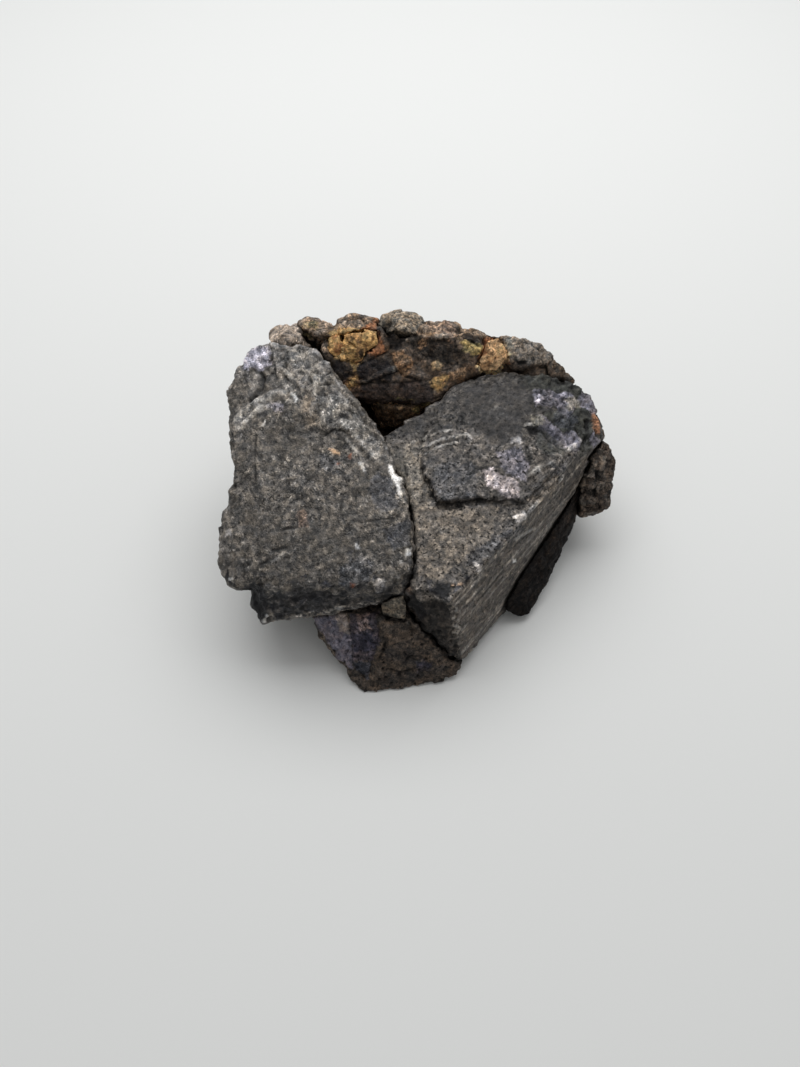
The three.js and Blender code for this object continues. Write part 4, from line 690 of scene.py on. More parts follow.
# ---------------------------------------------------------------- material
def material(name, mottle=5.0, grain=3.0, streak=2.0, streak_turn=(0, 0, 0), pits=0.5,
             flecks=0.4, bump=0.6, coarse=0.95, specular=0.35, tint=((1.05, 1.0, 0.94), (0.94, 0.99, 1.08))):
    m = bpy.data.materials.new(name)
    m.use_nodes = True
    nt = m.node_tree
    nt.nodes.clear()
    N, K = nt.nodes.new, nt.links.new
    out = N("ShaderNodeOutputMaterial")
    bsdf = N("ShaderNodeBsdfPrincipled")
    K(bsdf.outputs["BSDF"], out.inputs["Surface"])
    bsdf.inputs["Specular IOR Level"].default_value = specular
    tc = N("ShaderNodeTexCoord")
    mm = N("ShaderNodeVectorMath")
    mm.operation = "SCALE"
    mm.inputs["Scale"].default_value = 1000.0
    K(tc.outputs["Object"], mm.inputs[0])

    def attr(n):
        a = N("ShaderNodeAttribute")
        a.attribute_type = "GEOMETRY"
        a.attribute_name = n
        return a

    def noise(scale, detail=4, rough=0.6, vec=None, dist=0.0):
        t = N("ShaderNodeTexNoise")
        t.inputs["Scale"].default_value = scale
        t.inputs["Detail"].default_value = detail
        t.inputs["Roughness"].default_value = rough
        t.inputs["Distortion"].default_value = dist
        K(vec or mm.outputs[0], t.inputs["Vector"])
        return t.outputs["Fac"]

    def math_(op, a, b=None, c=None, clamp=False):
        x = N("ShaderNodeMath")
        x.operation = op
        x.use_clamp = clamp
        for i, v in enumerate((a, b, c)):
            if v is None:
                continue
            if isinstance(v, (int, float)):
                x.inputs[i].default_value = v
            else:
                K(v, x.inputs[i])
        return x.outputs[0]

    def ramp(v, lo, hi, a=0.0, b=1.0):
        x = N("ShaderNodeMapRange")
        x.interpolation_type = "SMOOTHSTEP"
        x.inputs["From Min"].default_value = lo
        x.inputs["From Max"].default_value = hi
        x.inputs["To Min"].default_value = a
        x.inputs["To Max"].default_value = b
        K(v, x.inputs["Value"])
        return x.outputs[0]

    col, met, rgh, mot = attr("Col"), attr("Met"), attr("Rgh"), attr("Mot")
    n1 = noise(coarse, 6, 0.70)
    n2 = noise(3.1, 3, 0.65)
    n3 = noise(0.26, 3, 0.55)
    turn = N("ShaderNodeMapping")
    turn.vector_type = "TEXTURE"
    turn.inputs["Rotation"].default_value = streak_turn
    turn.inputs["Scale"].default_value = (4.2, 0.62, 0.62)
    K(mm.outputs[0], turn.inputs["Vector"])
    n4 = noise(1.0, 4, 0.65, turn.outputs[0], 0.8)
    n5 = noise(1.5, 2, 0.5)
    n6 = noise(1.25, 3, 0.55, None, 0.6)
    # brightness, in stops: specks of dust, fine grain, streaks, broad drift
    s = math_("MULTIPLY", math_("SUBTRACT", n1, 0.5), mottle)
    s = math_("MULTIPLY_ADD", math_("SUBTRACT", n2, 0.5), grain, s)
    s = math_("MULTIPLY_ADD", math_("SUBTRACT", n4, 0.5), streak, s)
    s = math_("MULTIPLY", s, mot.outputs["Fac"])
    speck = ramp(s, -0.7, 0.7)
    s = math_("MULTIPLY_ADD", math_("SUBTRACT", n3, 0.5), 1.1, s)
    s = math_("MAXIMUM", math_("MINIMUM", s, 1.4), -2.2)
    pit = math_("MULTIPLY", ramp(n5, 0.42, 0.34), math_("MULTIPLY", mot.outputs["Fac"], pits))
    # light flecks brighten the colour: pale specks and painted glints
    fleck = math_("MULTIPLY", ramp(n6, 0.59, 0.69), math_("MULTIPLY", mot.outputs["Fac"], flecks))
    f = math_("POWER", 2.0, s)
    f = math_("MULTIPLY", f, math_("SUBTRACT", 1.0, pit))
    f = math_("MULTIPLY", f, math_("ADD", 1.0, fleck))
    f = math_("MAXIMUM", f, 0.10)
    mul = N("ShaderNodeVectorMath")
    mul.operation = "SCALE"
    K(col.outputs["Color"], mul.inputs[0])
    K(f, mul.inputs["Scale"])
    # bright dust is a little warmer than the bare sulphide under it
    tn = math_("MULTIPLY_ADD", ramp(noise(0.45, 4, 0.6), 0.38, 0.62), 0.6, math_("MULTIPLY", speck, 0.5), clamp=True)
    mix = N("ShaderNodeMix")
    mix.data_type = "RGBA"
    K(tn, mix.inputs["Factor"])
    mix.inputs["A"].default_value = (*tint[1], 1)
    mix.inputs["B"].default_value = (*tint[0], 1)
    mul2 = N("ShaderNodeVectorMath")
    mul2.operation = "MULTIPLY"
    K(mul.outputs[0], mul2.inputs[0])
    K(mix.outputs["Result"], mul2.inputs[1])
    K(mul2.outputs[0], bsdf.inputs["Base Color"])
    # metal and roughness
    mt = math_("MULTIPLY", met.outputs["Fac"], ramp(n1, 0.35, 0.6, 1.15, 0.75), clamp=True)
    K(mt, bsdf.inputs["Metallic"])
    r = math_("MULTIPLY_ADD", math_("SUBTRACT", n2, 0.5), 0.35, rgh.outputs["Fac"])
    r = math_("MULTIPLY_ADD", math_("SUBTRACT", n1, 0.5), -0.25, r)
    r = math_("MAXIMUM", math_("MINIMUM", r, 1.0), 0.18)
    K(r, bsdf.inputs["Roughness"])
    # relief
    h = math_("MULTIPLY_ADD", n2, 0.35, math_("MULTIPLY", n1, 0.8))
    h = math_("MULTIPLY_ADD", pit, -0.35, h)
    h = math_("MULTIPLY_ADD", n4, 0.25, h)
    b = N("ShaderNodeBump")
    b.inputs["Strength"].default_value = bump
    b.inputs["Distance"].default_value = 0.0006
    K(h, b.inputs["Height"])
    K(b.outputs["Normal"], bsdf.inputs["Normal"])
    return m


# ---------------------------------------------------------------- crystal directions
N_L = unit((-0.08, -0.37, 0.925))
N_T = unit((0.06, -0.20, 0.978))
EDGE_R = np.array((3.5, -31.0, 21.5))
FACE_L = np.array((-5.75, -29.06, 24.0))
AX_L = frame_of(N_L, (0.12, -1.0, -0.35))
AX_R = frame_of(N_T, (28.1, 33.2, 5.0))
AX_LO = frame_of(unit((0.05, -0.75, 0.66)), (1.0, 0.1, 0.0))
AX_K = frame_of((0.5, -0.3, 0.8), (0.4, 1.0, 0.1))

VOX = 0.34

MAT_FACE = material("galena_face", mottle=9.4, grain=3.4, streak=2.8, streak_turn=(0, 0, -1.15), coarse=0.72, flecks=1.5, pits=0.6, bump=0.5)
MAT_RIGHT = material("galena_face_right", mottle=9.2, grain=3.4, streak=2.8, streak_turn=(0, 0, 0.87), specular=0.3, coarse=0.74, flecks=1.1, pits=0.9, bump=0.5)
MAT_BROWN = material("galena_tarnished", mottle=8.6, grain=3.8, streak=2.0, streak_turn=(0, 0, 1.2), coarse=0.8, pits=0.7, flecks=0.3, specular=0.18,
                     tint=((1.12, 1.0, 0.90), (0.93, 0.99, 1.07)))
MAT_DARK = material("galena_dark", mottle=7.0, grain=4.0, streak=5.0, streak_turn=(0, 0, 0.87), pits=0.4,
                    flecks=1.2, specular=0.12, tint=((1.16, 1.0, 0.86), (0.88, 0.98, 1.12)))
MAT_CRUST = material("matrix_crust", mottle=8.6, grain=4.2, streak=0.6, pits=0.6, flecks=0.8, bump=0.75, specular=0.2,
                     coarse=1.2, tint=((1.16, 1.0, 0.84), (0.92, 0.99, 1.06)))
MAT_OCHRE = material("iron_oxide", mottle=6.0, grain=3.0, streak=0.0, pits=0.35, flecks=0.3, bump=0.5, specular=0.15,
                     coarse=1.1, tint=((1.06, 0.98, 0.88), (1.0, 1.03, 1.06)))


def base_relief(s, axes, face_mask, rough=0.45, fine=0.10, seed=0, step=1.7):
    """Common break-up: terraces and blocks away from the clean faces, fine grain everywhere."""
    broken = 1 - face_mask
    s.cleave(axes, 0.6 * broken, step, 0.75, 1.6, seed)
    s.refresh()
    r = bricks(s.rest, axes, (3.4, 2.6, 2.2), seed + 11) - 0.5
    r2 = bricks(s.rest, axes, (1.4, 1.1, 1.0), seed + 12) - 0.5
    h, tone = facets(s.rest, 4.2, seed + 14)
    h2, tone2 = facets(s.rest, 1.9, seed + 15)
    s.move(rough * broken * (0.55 * r + 0.2 * r2 + 1.5 * h + 0.9 * h2))
    s.shade(1 + broken * (0.30 * (tone - 0.5) + 0.30 * (tone2 - 0.5)))
    s.move(broken * 0.35 * fbm(s.rest, 5.0, 3, seed + 3))
    s.move(fine * fbm(s.rest, 1.3, 3, seed + 5))
    s.move(0.10 * fbm(s.rest, 6.0, 2, seed + 6))
    return r, r2


def make_left():
    s = Surface("left_crystal", VOX)
    main = s.faces(N_L, 0.975, 0.93)
    x, y, z = s.rest.T
    low = smooth(16, 8, y)                     # the clean lower part of the face
    corner = smooth(-27.5, -31.5, x) * smooth(14, 19, y)   # blocky upper left corner
    clean = main * (0.35 + 0.65 * low) * (1 - corner)
    top = s.rn[:, 2]
    below = (FACE_L - s.rest) @ N_L            # depth under the plane of the long face
    s.col[:] = lin((97, 93, 88))
    s.rgh[:] = 0.50
    s.met[:] = 0.34
    side = smooth(0.55, 0.2, top)
    s.paint(side, (86, 82, 77), 0.9, 0.26, 0.54, 1.0)
    s.paint(smooth(12, 22, y) * smooth(0.5, 0.7, top), (122, 119, 116), 0.8, 0.38, 0.44, 0.9)
    r, r2 = base_relief(s, AX_L, clean, 0.38 + 0.15 * corner, 0.10, 1, 1.8)
    s.shade(1 + corner * (0.7 * r + 0.5 * r2 - 0.08))
    edge = s.chip(0.7, 2.4, 5)
    # painted highlight along the chipped edges
    s.shade(1 + 0.35 * edge * np.clip(0.3 + fbm(s.rest, 1.5, 2, 8), 0, 1))
    s.shade(1 + (1 - clean) * 0.35 * (r + 0.6 * r2))
    # broad drift of dust on the face
    s.shade(2 ** (0.85 * fbm(s.rest, 9.0, 4, 21, 0.65) + 0.60 * fbm(s.rest, 3.2, 3, 22, 0.6)))
    # the main face is darker towards its front end
    s.shade(1 - 0.22 * main * smooth(-8.0, -20.0, y))
    s.wear(0.20 * main, (58, 62, 70), 0.65, 0.35, 0.40, 24, 4.5)
    s.wear(0.34 * main, (52, 53, 56), 0.60, 0.30, 0.42, 26, 1.6)
    wave = fbm(s.rest, 4.0, 3, 23)
    s.move(0.16 * clean * wave)
    # bare dark sulphide in ragged patches along the front edge and over the corner below it, also painted shade on the
    # front band
    front = smooth(-20.5, -26.5, y) * smooth(-0.45, -0.1, top)
    band = smooth(0.1, 2.2, below) * smooth(-16, -22, y)
    near = smooth(-20.5, -27.5, y) * smooth(0.5, 0.8, top)
    m = s.wear(np.clip(0.12 * front + 0.34 * band + 0.33 * near, 0, 1), (28, 30, 36), 0.94, 0.25, 0.42, 25, 1.9)
    # painted light: where the dust stays on the front band it is brightened
    s.shade(1 + 0.75 * band * (1 - m))
    # painted shade: the notch at the front corner is painted nearly black
    notch = np.exp(-(((s.rest - np.array((-35.6, -27.4, 15.5))) ** 2) @ np.array((0.055, 0.055, 0.03))))
    s.paint(smooth(0.25, 0.6, notch + 0.25 * fbm(s.rest, 2.0, 3, 19)), (12, 13, 18), 0.97, 0.05, 0.6, 0.5)
    s.vary(7.0, 20, 1.5)
    # fibrous cleavage texture that fans down from the top of the block
    along = unit((22.0, -24.0, -8.0))
    q1, q2 = s.rest @ along, s.rest @ np.cross(N_L, along)
    fan = smooth(2, 14, y) * smooth(0.4, 0.7, top)
    f = gnoise(np.stack([q1 * 0.11, q2 * 1.1, y * 0.05], 1) + 0.7 * fbm(s.rest, 8, 2, 28)[:, None], 27)
    f = f + 0.6 * gnoise(np.stack([q1 * 0.2, q2 * 2.1, y * 0.05], 1) + 0.9 * fbm(s.rest, 6, 2, 29)[:, None], 30)
    s.move(0.16 * fan * f)
    s.shade(2 ** (0.80 * fan * f))
    s.paint(fan * smooth(0.35, 0.6, f) * smooth(-0.1, 0.3, fbm(s.rest, 5.0, 3, 18)), (168, 165, 162), 0.55, 0.3, 0.42)
    s.rubbed_highlights()
    s.refresh()
    s.lines()
    s.patches()
    s.refresh()
    s.crevice_shade(0.45)
    s.joint_shade_and_gap(1.0, 0.85, 0.2)
    return s.finish(MAT_FACE, 0.12)


def make_right():
    s = Surface("right_crystal", VOX)
    t_face = s.faces(N_T, 0.975, 0.94)
    n_strip = unit((0.727, -0.65, 0.221))
    strip = s.faces(n_strip, 0.95, 0.85)
    top = s.rn[:, 2]
    x, y, z = s.rest.T
    base = smooth(0.6, 0.2, z)
    clean = np.clip(t_face + strip * 0.85 + base, 0, 1)
    dome = smooth(-2, 2, y - 6.0) * smooth(0.6, 0.8, top)
    blocky = smooth(21.0, 25.5, x + 0.25 * y - 3.0) * smooth(3.0, 6.0, y) * smooth(0.2, 0.5, top)
    s.col[:] = lin((97, 93, 89))
    s.rgh[:] = 0.48
    s.met[:] = 0.34
    s.paint(smooth(0.55, 0.2, top), (84, 78, 72), 0.9, 0.15, 0.6, 1.0)
    s.paint(dome, (64, 62, 60), 0.8, 0.42, 0.44, 0.8)
    s.paint(strip, (88, 82, 76), 0.9, 0.34, 0.45, 0.7)
    # painted shade: the facet turned to the front is painted nearly black
    front = s.faces((-0.35, -0.9, 0.25), 0.8, 0.6) * smooth(0.5, 0.2, top)
    s.paint(front, (37, 33, 30), 0.95, 0.06, 0.65, 1.0)
    keep = np.clip(clean + 0.55 * dome, 0, 1) * (1 - 0.8 * blocky)
    r, r2 = base_relief(s, AX_R, keep, 0.42 + 0.12 * blocky, 0.09, 31, 1.7)
    h, tone = facets(s.rest, 5.2, 32)
    s.move(0.5 * blocky * h)
    s.shade(1 + blocky * 1.0 * (tone - 0.5))
    s.paint(blocky * smooth(0.60, 0.66, tone), (136, 133, 145), 0.65, 0.25, 0.42, 0.6)
    s.paint(blocky * smooth(0.30, 0.24, tone), (58, 60, 55), 0.7, 0.2, 0.45, 0.6)
    edge = s.chip(0.6, 2.2, 35)
    # painted highlight along the chipped edges
    s.shade(1 + 0.25 * edge * np.clip(0.4 + fbm(s.rest, 1.5, 2, 38), 0, 1))
    s.shade(1 + (1 - clean) * 0.3 * (r + 0.6 * r2) * (1 - 0.6 * dome))
    # fibrous, fan-like streaks on the upper layer
    q = s.rest @ AX_R.T
    f = 0.7 * gnoise(np.stack([q[:, 0] * 0.14, q[:, 1] * 0.9, q[:, 2] * 0.3], 1) + 1.1 * fbm(s.rest, 9, 3, 44)[:, None], 45)
    f = f + 0.5 * gnoise(np.stack([q[:, 0] * 0.3, q[:, 1] * 1.9, q[:, 2] * 0.3], 1) + 1.4 * fbm(s.rest, 6, 3, 47)[:, None], 48)
    s.move(0.11 * dome * f)
    s.shade(2 ** (0.62 * dome * f))
    s.paint(dome * smooth(0.32, 0.6, f) * smooth(0.0, 0.35, fbm(s.rest, 6.0, 3, 37)), (138, 135, 132), 0.5, 0.3, 0.42)
    # long striae down the bevel
    g = gnoise(np.stack([q[:, 0] * 0.05, q[:, 1] * 1.1, q[:, 2] * 1.1], 1), 46)
    g = g + 0.6 * gnoise(np.stack([q[:, 0] * 0.10, q[:, 1] * 2.3, q[:, 2] * 2.3], 1), 49)
    s.move(0.10 * strip * g)
    s.shade(2 ** (0.62 * strip * g))
    up = smooth(-4.5, 0.0, (s.rest - EDGE_R) @ n_strip + 0.6)
    s.paint(strip * up * smooth(0.2, 0.5, g + 0.3 * fbm(s.rest, 4.0, 3, 36)), (150, 144, 136), 0.5, 0.25, 0.42)
    g2 = gnoise(np.stack([q[:, 0] * 0.9, q[:, 1] * 0.2, q[:, 2] * 0.12], 1), 50)
    s.move(0.08 * front * g2)
    s.shade(2 ** (0.4 * front * g2))
    s.shade(2 ** (0.85 * fbm(s.rest, 8.0, 4, 41, 0.65) + 0.60 * fbm(s.rest, 3.0, 3, 42, 0.6)))
    s.shade(1 - 0.18 * t_face)
    s.wear(0.20 * np.clip(t_face + dome, 0, 1), (60, 62, 70), 0.60, 0.35, 0.40, 39, 4.5)
    s.wear(0.36 * np.clip(t_face + dome, 0, 1), (52, 52, 55), 0.60, 0.30, 0.42, 34, 1.6)
    s.vary(7.0, 40, 1.5)
    # smooth dust in the trough beside the left crystal
    trough = smooth(1.2, -1.0, x - (-3.0 + 0.10 * (y + 20.0))) * smooth(5, -2, y) * smooth(-28, -24, y) * t_face
    s.paint(trough, (124, 118, 107), 0.6, 0.0, 0.7, 0.35)
    # bare sulphide along the front edge of the level face
    lip = t_face * smooth(-20.5, -28.0, y) + smooth(0.4, 0.8, t_face) * smooth(0.0, 3.0, (s.rest - EDGE_R) @ n_strip + 2.2) * 0.6
    s.wear(np.clip(0.42 * lip, 0, 1), (44, 46, 54), 0.85, 0.35, 0.42, 43, 2.2)
    s.rubbed_highlights(seed=98)
    s.refresh()
    s.lines()
    s.patches()
    s.refresh()
    s.crevice_shade(0.45)
    s.joint_shade_and_gap(1.0, 0.85, 0.2)
    return s.finish(MAT_RIGHT, 0.12)


def make_lower():
    s = Surface("lower_crystal", 0.26)
    n_front = unit((0.05, -0.8, 0.6))
    front = s.faces(n_front, 0.93, 0.8)
    s.col[:] = lin((82, 77, 72))
    s.rgh[:] = 0.62
    s.met[:] = 0.06
    # the face turned to the front is a darker brown: its own tarnish and painted shade
    s.paint(front, (74, 66, 59), 0.9, 0.04, 0.66, 1.0)
    r, r2 = base_relief(s, AX_LO, np.clip(front, 0, 1) * 0.9, 0.45, 0.10, 51, 1.5)
    s.chip(0.6, 2.0, 55)
    # small dark pits on the brown face
    f1, f2, rnd = cells(s.rest, 1.5, 57)
    pit = smooth(0.42, 0.2, f1) * (rnd > 0.62)
    s.move(-0.35 * pit)
    s.shade(1 - 0.6 * pit)
    s.shade(1 + (1 - front) * 0.35 * (r + 0.5 * r2))
    s.refresh()
    s.lines()
    s.patches()
    s.refresh()
    s.crevice_shade(0.5)
    s.joint_shade_and_gap(0.9, 0.85, 0.2)
    return s.finish(MAT_BROWN, 0.12)


def make_step():
    s = Surface("step_crystal", 0.16)
    s.col[:] = lin((104, 98, 88))
    s.rgh[:] = 0.5
    s.met[:] = 0.15
    s.move(0.06 * fbm(s.rest, 1.2, 3, 61))
    s.chip(0.35, 1.2, 62)
    s.refresh()
    s.joint_shade_and_gap(0.6, 0.7, 0.1)
    return s.finish(MAT_BROWN, 0.10)


def make_wedge():
    s = Surface("wedge_crystal", 0.24)
    # near-black colour: dark sulphide and painted shade on a wedge turned away from the light; its upper part is
    # lighter brown
    s.col[:] = lin((24, 22, 21))
    s.rgh[:] = 0.6
    s.met[:] = 0.05
    up = smooth(6, 14, s.rest[:, 2])
    s.paint(up, (46, 40, 36), 0.5, 0.05, 0.65, 1.0)
    r, r2 = base_relief(s, AX_R, np.full(s.count, 0.45), 0.5, 0.12, 63, 1.2)
    s.chip(0.5, 1.6, 64)
    s.shade(1 + 0.6 * (r + 0.6 * r2))
    s.refresh()
    s.joint_shade_and_gap(0.8, 0.7, 0.2)
    return s.finish(MAT_DARK, 0.12)


def make_corner():
    s = Surface("corner_crystal", 0.24)
    s.col[:] = lin((76, 69, 63))
    s.rgh[:] = 0.62
    s.met[:] = 0.08
    f1, f2, rnd = cells(s.rest, 3.0, 65)
    g1, g2, rnd2 = cells(s.rest, 1.4, 66)
    h, tone = facets(s.rest, 3.4, 69)
    r, r2 = base_relief(s, AX_K, np.full(s.count, 0.5), 0.7, 0.14, 67, 1.5)
    s.move(0.35 * smooth(0.02, 0.25, f2 - f1) * (rnd - 0.4) + 0.10 * (0.5 - g1) + 0.7 * h)
    s.chip(0.6, 1.8, 68)
    s.shade(0.72 + 0.6 * rnd)
    s.shade(1 - 0.5 * smooth(0.12, 0.0, f2 - f1))
    s.paint(smooth(0.7, 0.9, rnd2), (128, 122, 115), 0.6, 0.2, 0.5, 0.8)
    s.refresh()
    s.lines()
    s.patches()
    s.refresh()
    s.crevice_shade(0.5)
    s.joint_shade_and_gap(0.9, 0.8, 0.2)
    return s.finish(MAT_BROWN, 0.14)


def crusty(s, big, small, seed, amp=0.9):
    """Crusted grains: rounded lumps with dark gaps between them."""
    f1, f2, rnd = cells(s.rest + 0.8 * np.stack([gnoise(s.rest / 3 + k, seed + k) for k in range(3)], 1), big, seed)
    g1, g2, rnd2 = cells(s.rest, small, seed + 1)
    gap = smooth(0.16, 0.0, f2 - f1)
    gap2 = smooth(0.14, 0.0, g2 - g1)
    flat = smooth(0.02, 0.22, f2 - f1) * (0.35 + rnd) - 0.6
    h, tone = facets(s.rest, big * 1.2, seed + 9)
    h2, tone2 = facets(s.rest, small * 1.3, seed + 10)
    s.move(amp * (0.35 * flat + 0.12 * (0.45 - f1) + 0.9 * h) + 0.5 * amp * (0.3 * smooth(0.02, 0.25, g2 - g1) * rnd2 + h2))
    s.shade(1 + 0.5 * (tone - 0.5) + 0.4 * (tone2 - 0.5))
    s.move(0.16 * fbm(s.rest, 0.9, 2, seed + 3))
    return rnd, rnd2, gap, gap2


def make_crust():
    s = Surface("matrix_crust", VOX)
    x, y, z = s.rest.T
    s.col[:] = lin((98, 89, 80))
    s.rgh[:] = 0.74
    s.met[:] = 0.04
    wall = smooth(0.25, 0.6, -s.rn[:, 1]) * smooth(27.5, 29.5, z) * smooth(27.0, 24.5, y)
    wall = np.clip(wall, 0, 1)
    under = smooth(29.5, 27.0, z) * smooth(30.0, 25.0, y)
    s.paint(wall, (98, 89, 82), 0.85, 0.15, 0.42, 0.6)
    outer = smooth(-0.3, 0.3, s.rn[:, 1] - 0.3 * s.rn[:, 2]) * smooth(20, 26, y)
    s.cleave(frame_of((0.1, -0.6, 0.8), (1, 0.2, 0)), 0.5 * wall, 1.9, 0.75, 0.8, 75)
    s.refresh()
    # broken blocks and hollows on the outside
    f1, f2, blk = cells(s.rest + 2.0 * np.stack([gnoise(s.rest / 6 + 3 * k, 170 + k) for k in range(3)], 1), 11.0, 74)
    s.move(outer * (1.5 * smooth(0.0, 0.14, f2 - f1) * (blk - 0.55) + 0.9 * fbm(s.rest, 12.0, 3, 76)))
    s.shade(1 - outer * 0.35 * smooth(0.06, 0.0, f2 - f1))
    s.shade(1 + outer * 0.45 * (blk - 0.5))
    h, tone = facets(s.rest, 9.0, 73)
    s.move(outer * 1.5 * h)
    s.shade(1 + outer * 0.5 * (tone - 0.5))
    s.refresh()
    rim = smooth(34, 37, z) * (1 - wall)
    s.paint(rim, (160, 147, 134), 0.88, 0.05, 0.7)
    r = bricks(s.rest, AX_K, (3.0, 2.3, 1.9), 72) - 0.5
    s.move(0.55 * r * (1 - 0.6 * wall))
    s.refresh()
    rnd, rnd2, gap, gap2 = crusty(s, 3.3, 1.35, 71, 0.8 * (1 - 0.65 * wall) * (1 - 0.35 * outer))
    gap, gap2 = gap * (1 - 0.8 * wall), gap2 * (1 - 0.6 * wall)
    s.shade((0.70 + 0.6 * rnd) * (0.82 + 0.36 * rnd2) * (1 + 0.4 * r))
    s.shade(1 - 0.55 * gap)
    s.shade(1 - 0.25 * gap2)
    warm = smooth(0.55, 0.9, rnd2) * (1 - wall)
    s.paint(warm, (118, 98, 76), 0.45)
    cool = smooth(0.35, 0.1, rnd) * (1 - wall)
    s.paint(cool, (98, 99, 104), 0.4, 0.2, 0.55)
    stain = smooth(0.12, 0.5, fbm(s.rest, 4.5, 3, 77)) * smooth(14, 30, z)
    s.paint(stain, (134, 98, 58), 0.30, 0.0, 0.85)
    s.chip(0.5, 2.0, 78)
    s.refresh()
    # painted shade in the recess under the rim
    s.paint(under, (58, 51, 45), 0.55, 0.05, 0.8)
    s.joint_shade_and_gap(0.8, 0.7, 0.15)
    s.lines()
    s.patches()
    s.refresh()
    s.crevice_shade(0.55)
    return s.finish(MAT_CRUST, 0.14)


def make_rim():
    s = Surface("rim_crystal", 0.2)
    s.col[:] = lin((132, 125, 115))
    s.rgh[:] = 0.62
    s.met[:] = 0.10
    r, r2 = base_relief(s, AX_K, np.full(s.count, 0.35), 0.7, 0.14, 81, 1.5)
    s.shade(1 + 0.45 * (r + 0.6 * r2))
    s.chip(0.9, 2.0, 83)
    hole = np.exp(-((s.rest[:, 0] + 9.0) ** 2 + (s.rest[:, 1] - 28.6) ** 2) / 2.4)
    s.move(-1.1 * hole)
    # painted shade in the hollow
    s.paint(np.clip(1.5 * hole, 0, 1), (28, 26, 24), 0.85, 0.0, 0.8)
    s.shade(2 ** (0.6 * fbm(s.rest, 4.0, 3, 84)))
    s.refresh()
    s.crevice_shade(0.6)
    s.joint_shade_and_gap(0.7, 0.7, 0.15)
    return s.finish(MAT_CRUST, 0.10)


def make_cube():
    s = Surface("corner_cube", 0.22)
    s.col[:] = lin((150, 137, 124))
    s.rgh[:] = 0.52
    s.met[:] = 0.15
    r = bricks(s.rest, AX_K, (2.6, 2.0, 1.6), 84) - 0.5
    h, tone = facets(s.rest, 2.6, 82)
    s.move(0.30 * r + 1.1 * h + 0.10 * fbm(s.rest, 2.0, 3, 85))
    s.shade(1 + 0.9 * (tone - 0.5))
    s.shade((1 + 0.5 * r) * 2 ** (0.6 * fbm(s.rest, 3.0, 3, 88)))
    edge = s.chip(0.7, 1.6, 86)
    s.paint(edge * np.clip(0.3 + fbm(s.rest, 1.6, 2, 87), 0, 1), (134, 112, 84), 0.6, 0.0, 0.8)
    s.refresh()
    s.crevice_shade(0.5)
    s.joint_shade_and_gap(0.8, 0.8, 0.15)
    return s.finish(MAT_FACE, 0.08)


def make_cavity():
    s = Surface("cavity_crystal", 0.26)
    s.col[:] = lin((124, 106, 88))
    s.rgh[:] = 0.5
    s.met[:] = 0.2
    ax = frame_of((0.2, -0.5, 0.8), (1, 0.3, 0))
    r, r2 = base_relief(s, ax, np.full(s.count, 0.2), 0.9, 0.16, 88, 1.6)
    s.shade(1 + 0.7 * (r + r2))
    s.chip(0.3, 1.6, 89)
    s.rubbed_highlights((176, 158, 120), 0.7, 90)
    s.refresh()
    s.patches()
    return s.finish(MAT_DARK, 0.14)


def make_ochre(node, col, seed):
    s = Surface(node, 0.18)
    s.col[:] = lin(col)
    s.rgh[:] = 0.86
    f1, f2, rnd = cells(s.rest + 0.5 * gnoise(s.rest / 1.2, seed)[:, None], 1.9, seed)
    g1, g2, rnd2 = cells(s.rest, 0.8, seed + 1)
    h, tone = facets(s.rest, 2.4, seed + 8)
    h2, tone2 = facets(s.rest, 1.1, seed + 9)
    s.move(0.42 * h + 0.14 * h2 + 0.10 * fbm(s.rest, 1.8, 4, seed + 2, 0.6) - 0.15)
    s.shade(1 + 0.4 * (tone - 0.5) + 0.3 * (tone2 - 0.5))
    s.shade((0.95 + 0.4 * rnd) * (0.95 + 0.3 * rnd2))
    n = fbm(s.rest, 3.2, 4, seed + 4, 0.6)
    s.paint(smooth(0.05, 0.25, n), (132, 100, 72), 0.8)
    s.paint(smooth(-0.10, -0.30, n), (204, 178, 132), 0.75)
    s.paint(smooth(0.75, 0.9, rnd), (164, 108, 76), 0.6)
    m = fbm(s.rest, 2.4, 4, seed + 6, 0.6)
    s.paint(smooth(0.10, 0.26, m), (58, 52, 47), 0.8, 0.1, 0.6)
    if node == "ochre_edge":
        far = np.linalg.norm(s.rest - s.rest.mean(0), axis=1)
        far = far / far.max() + 0.55 * fbm(s.rest, 1.8, 4, seed + 7, 0.6)
        s.paint(smooth(0.42, 0.60, far), (72, 65, 58), 0.92, 0.1, 0.65)
    s.refresh()
    s.patches()
    s.refresh()
    s.crevice_shade(0.5)
    return s.finish(MAT_OCHRE, 0.05)


make_left()
make_right()
make_lower()
make_step()
make_wedge()
make_corner()
make_crust()
make_rim()
make_cube()
make_cavity()
make_ochre("ochre_left", (196, 162, 112), 101)
make_ochre("ochre_right", (200, 166, 128), 105)
make_ochre("ochre_edge", (190, 150, 104), 109)

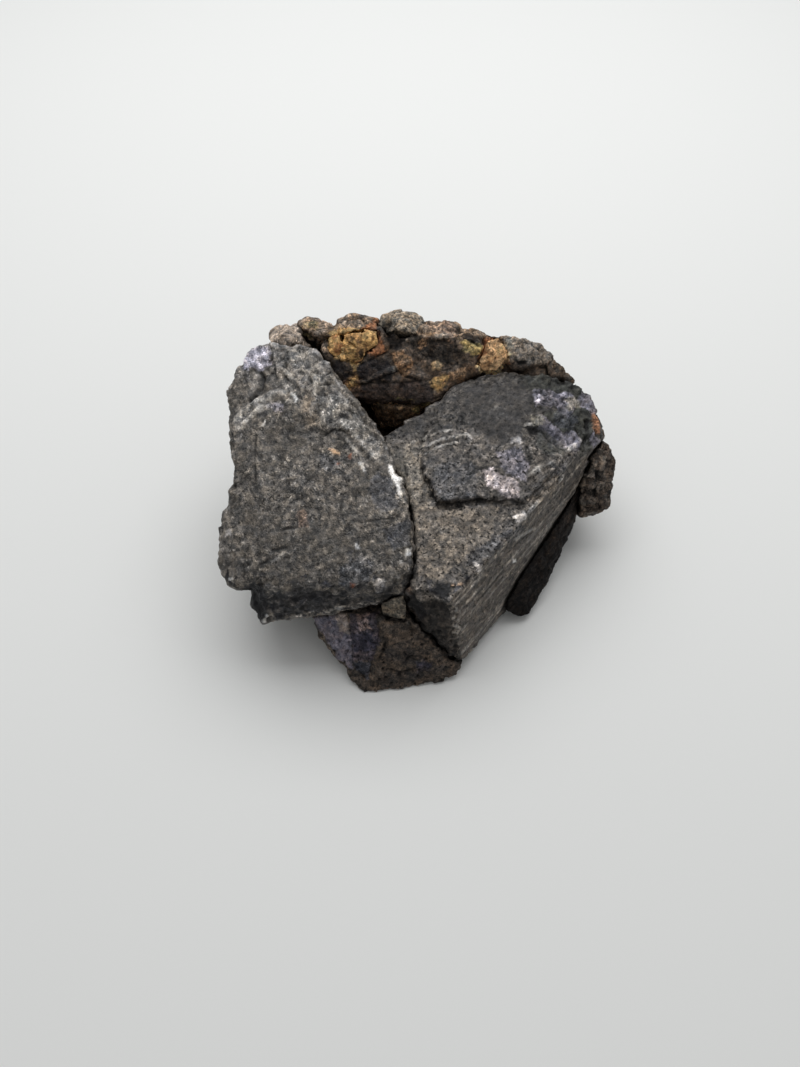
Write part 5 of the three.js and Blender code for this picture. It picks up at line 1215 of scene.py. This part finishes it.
# ---------------------------------------------------------------- floor, light, camera
bpy.ops.mesh.primitive_plane_add(size=3.0, location=(0, 0, -0.00015))
floor = bpy.context.object
floor.name = "floor"
fm = bpy.data.materials.new("floor")
fm.use_nodes = True
fb = fm.node_tree.nodes["Principled BSDF"]
fb.inputs["Base Color"].default_value = (0.78, 0.79, 0.78, 1)
fb.inputs["Roughness"].default_value = 0.7
fb.inputs["Specular IOR Level"].default_value = 0.3
floor.data.materials.append(fm)


def area(name, loc, target, size, power, colour=(1, 1, 1)):
    d = bpy.data.lights.new(name, "AREA")
    d.shape = "RECTANGLE"
    d.size, d.size_y = size
    d.energy = power
    d.color = colour
    o = bpy.data.objects.new(name, d)
    bpy.context.scene.collection.objects.link(o)
    o.location = loc
    from mathutils import Vector
    o.rotation_mode = "QUATERNION"
    o.rotation_quaternion = (Vector(target) - Vector(loc)).to_track_quat("-Z", "Y")
    return o


area("softbox", (0, 0.24, 0.40), (0, 0.08, 0), (0.6, 0.4), 1.8)
world = bpy.data.worlds.new("soft")
world.use_nodes = True
wt = world.node_tree
w_co = wt.nodes.new("ShaderNodeTexCoord")
w_dot = wt.nodes.new("ShaderNodeVectorMath")
w_dot.operation = "DOT_PRODUCT"
w_dot.inputs[1].default_value = (0.0, 0.75, 0.66)
w_map = wt.nodes.new("ShaderNodeMapRange")
w_map.inputs["From Min"].default_value = -0.5
w_map.inputs["From Max"].default_value = 0.9
w_map.inputs["To Min"].default_value = 0.24
w_map.inputs["To Max"].default_value = 0.50
wt.links.new(w_co.outputs["Generated"], w_dot.inputs[0])
wt.links.new(w_dot.outputs["Value"], w_map.inputs["Value"])
wt.links.new(w_map.outputs[0], wt.nodes["Background"].inputs["Strength"])
wt.nodes["Background"].inputs["Color"].default_value = (1.0, 1.0, 1.0, 1)
bpy.context.scene.world = world
bpy.context.scene.view_settings.view_transform = "Standard"

cam = bpy.data.cameras.new("camera")
cam.lens = 30.0
cam.sensor_width = 36.0
cam.clip_start = 0.01
cam.clip_end = 20
camera = bpy.data.objects.new("camera", cam)
camera.location = (-0.00575, -0.120212, 0.173543)
camera.rotation_euler = (math.radians(35.0), 0, 0)
bpy.context.scene.collection.objects.link(camera)
bpy.context.scene.camera = camera
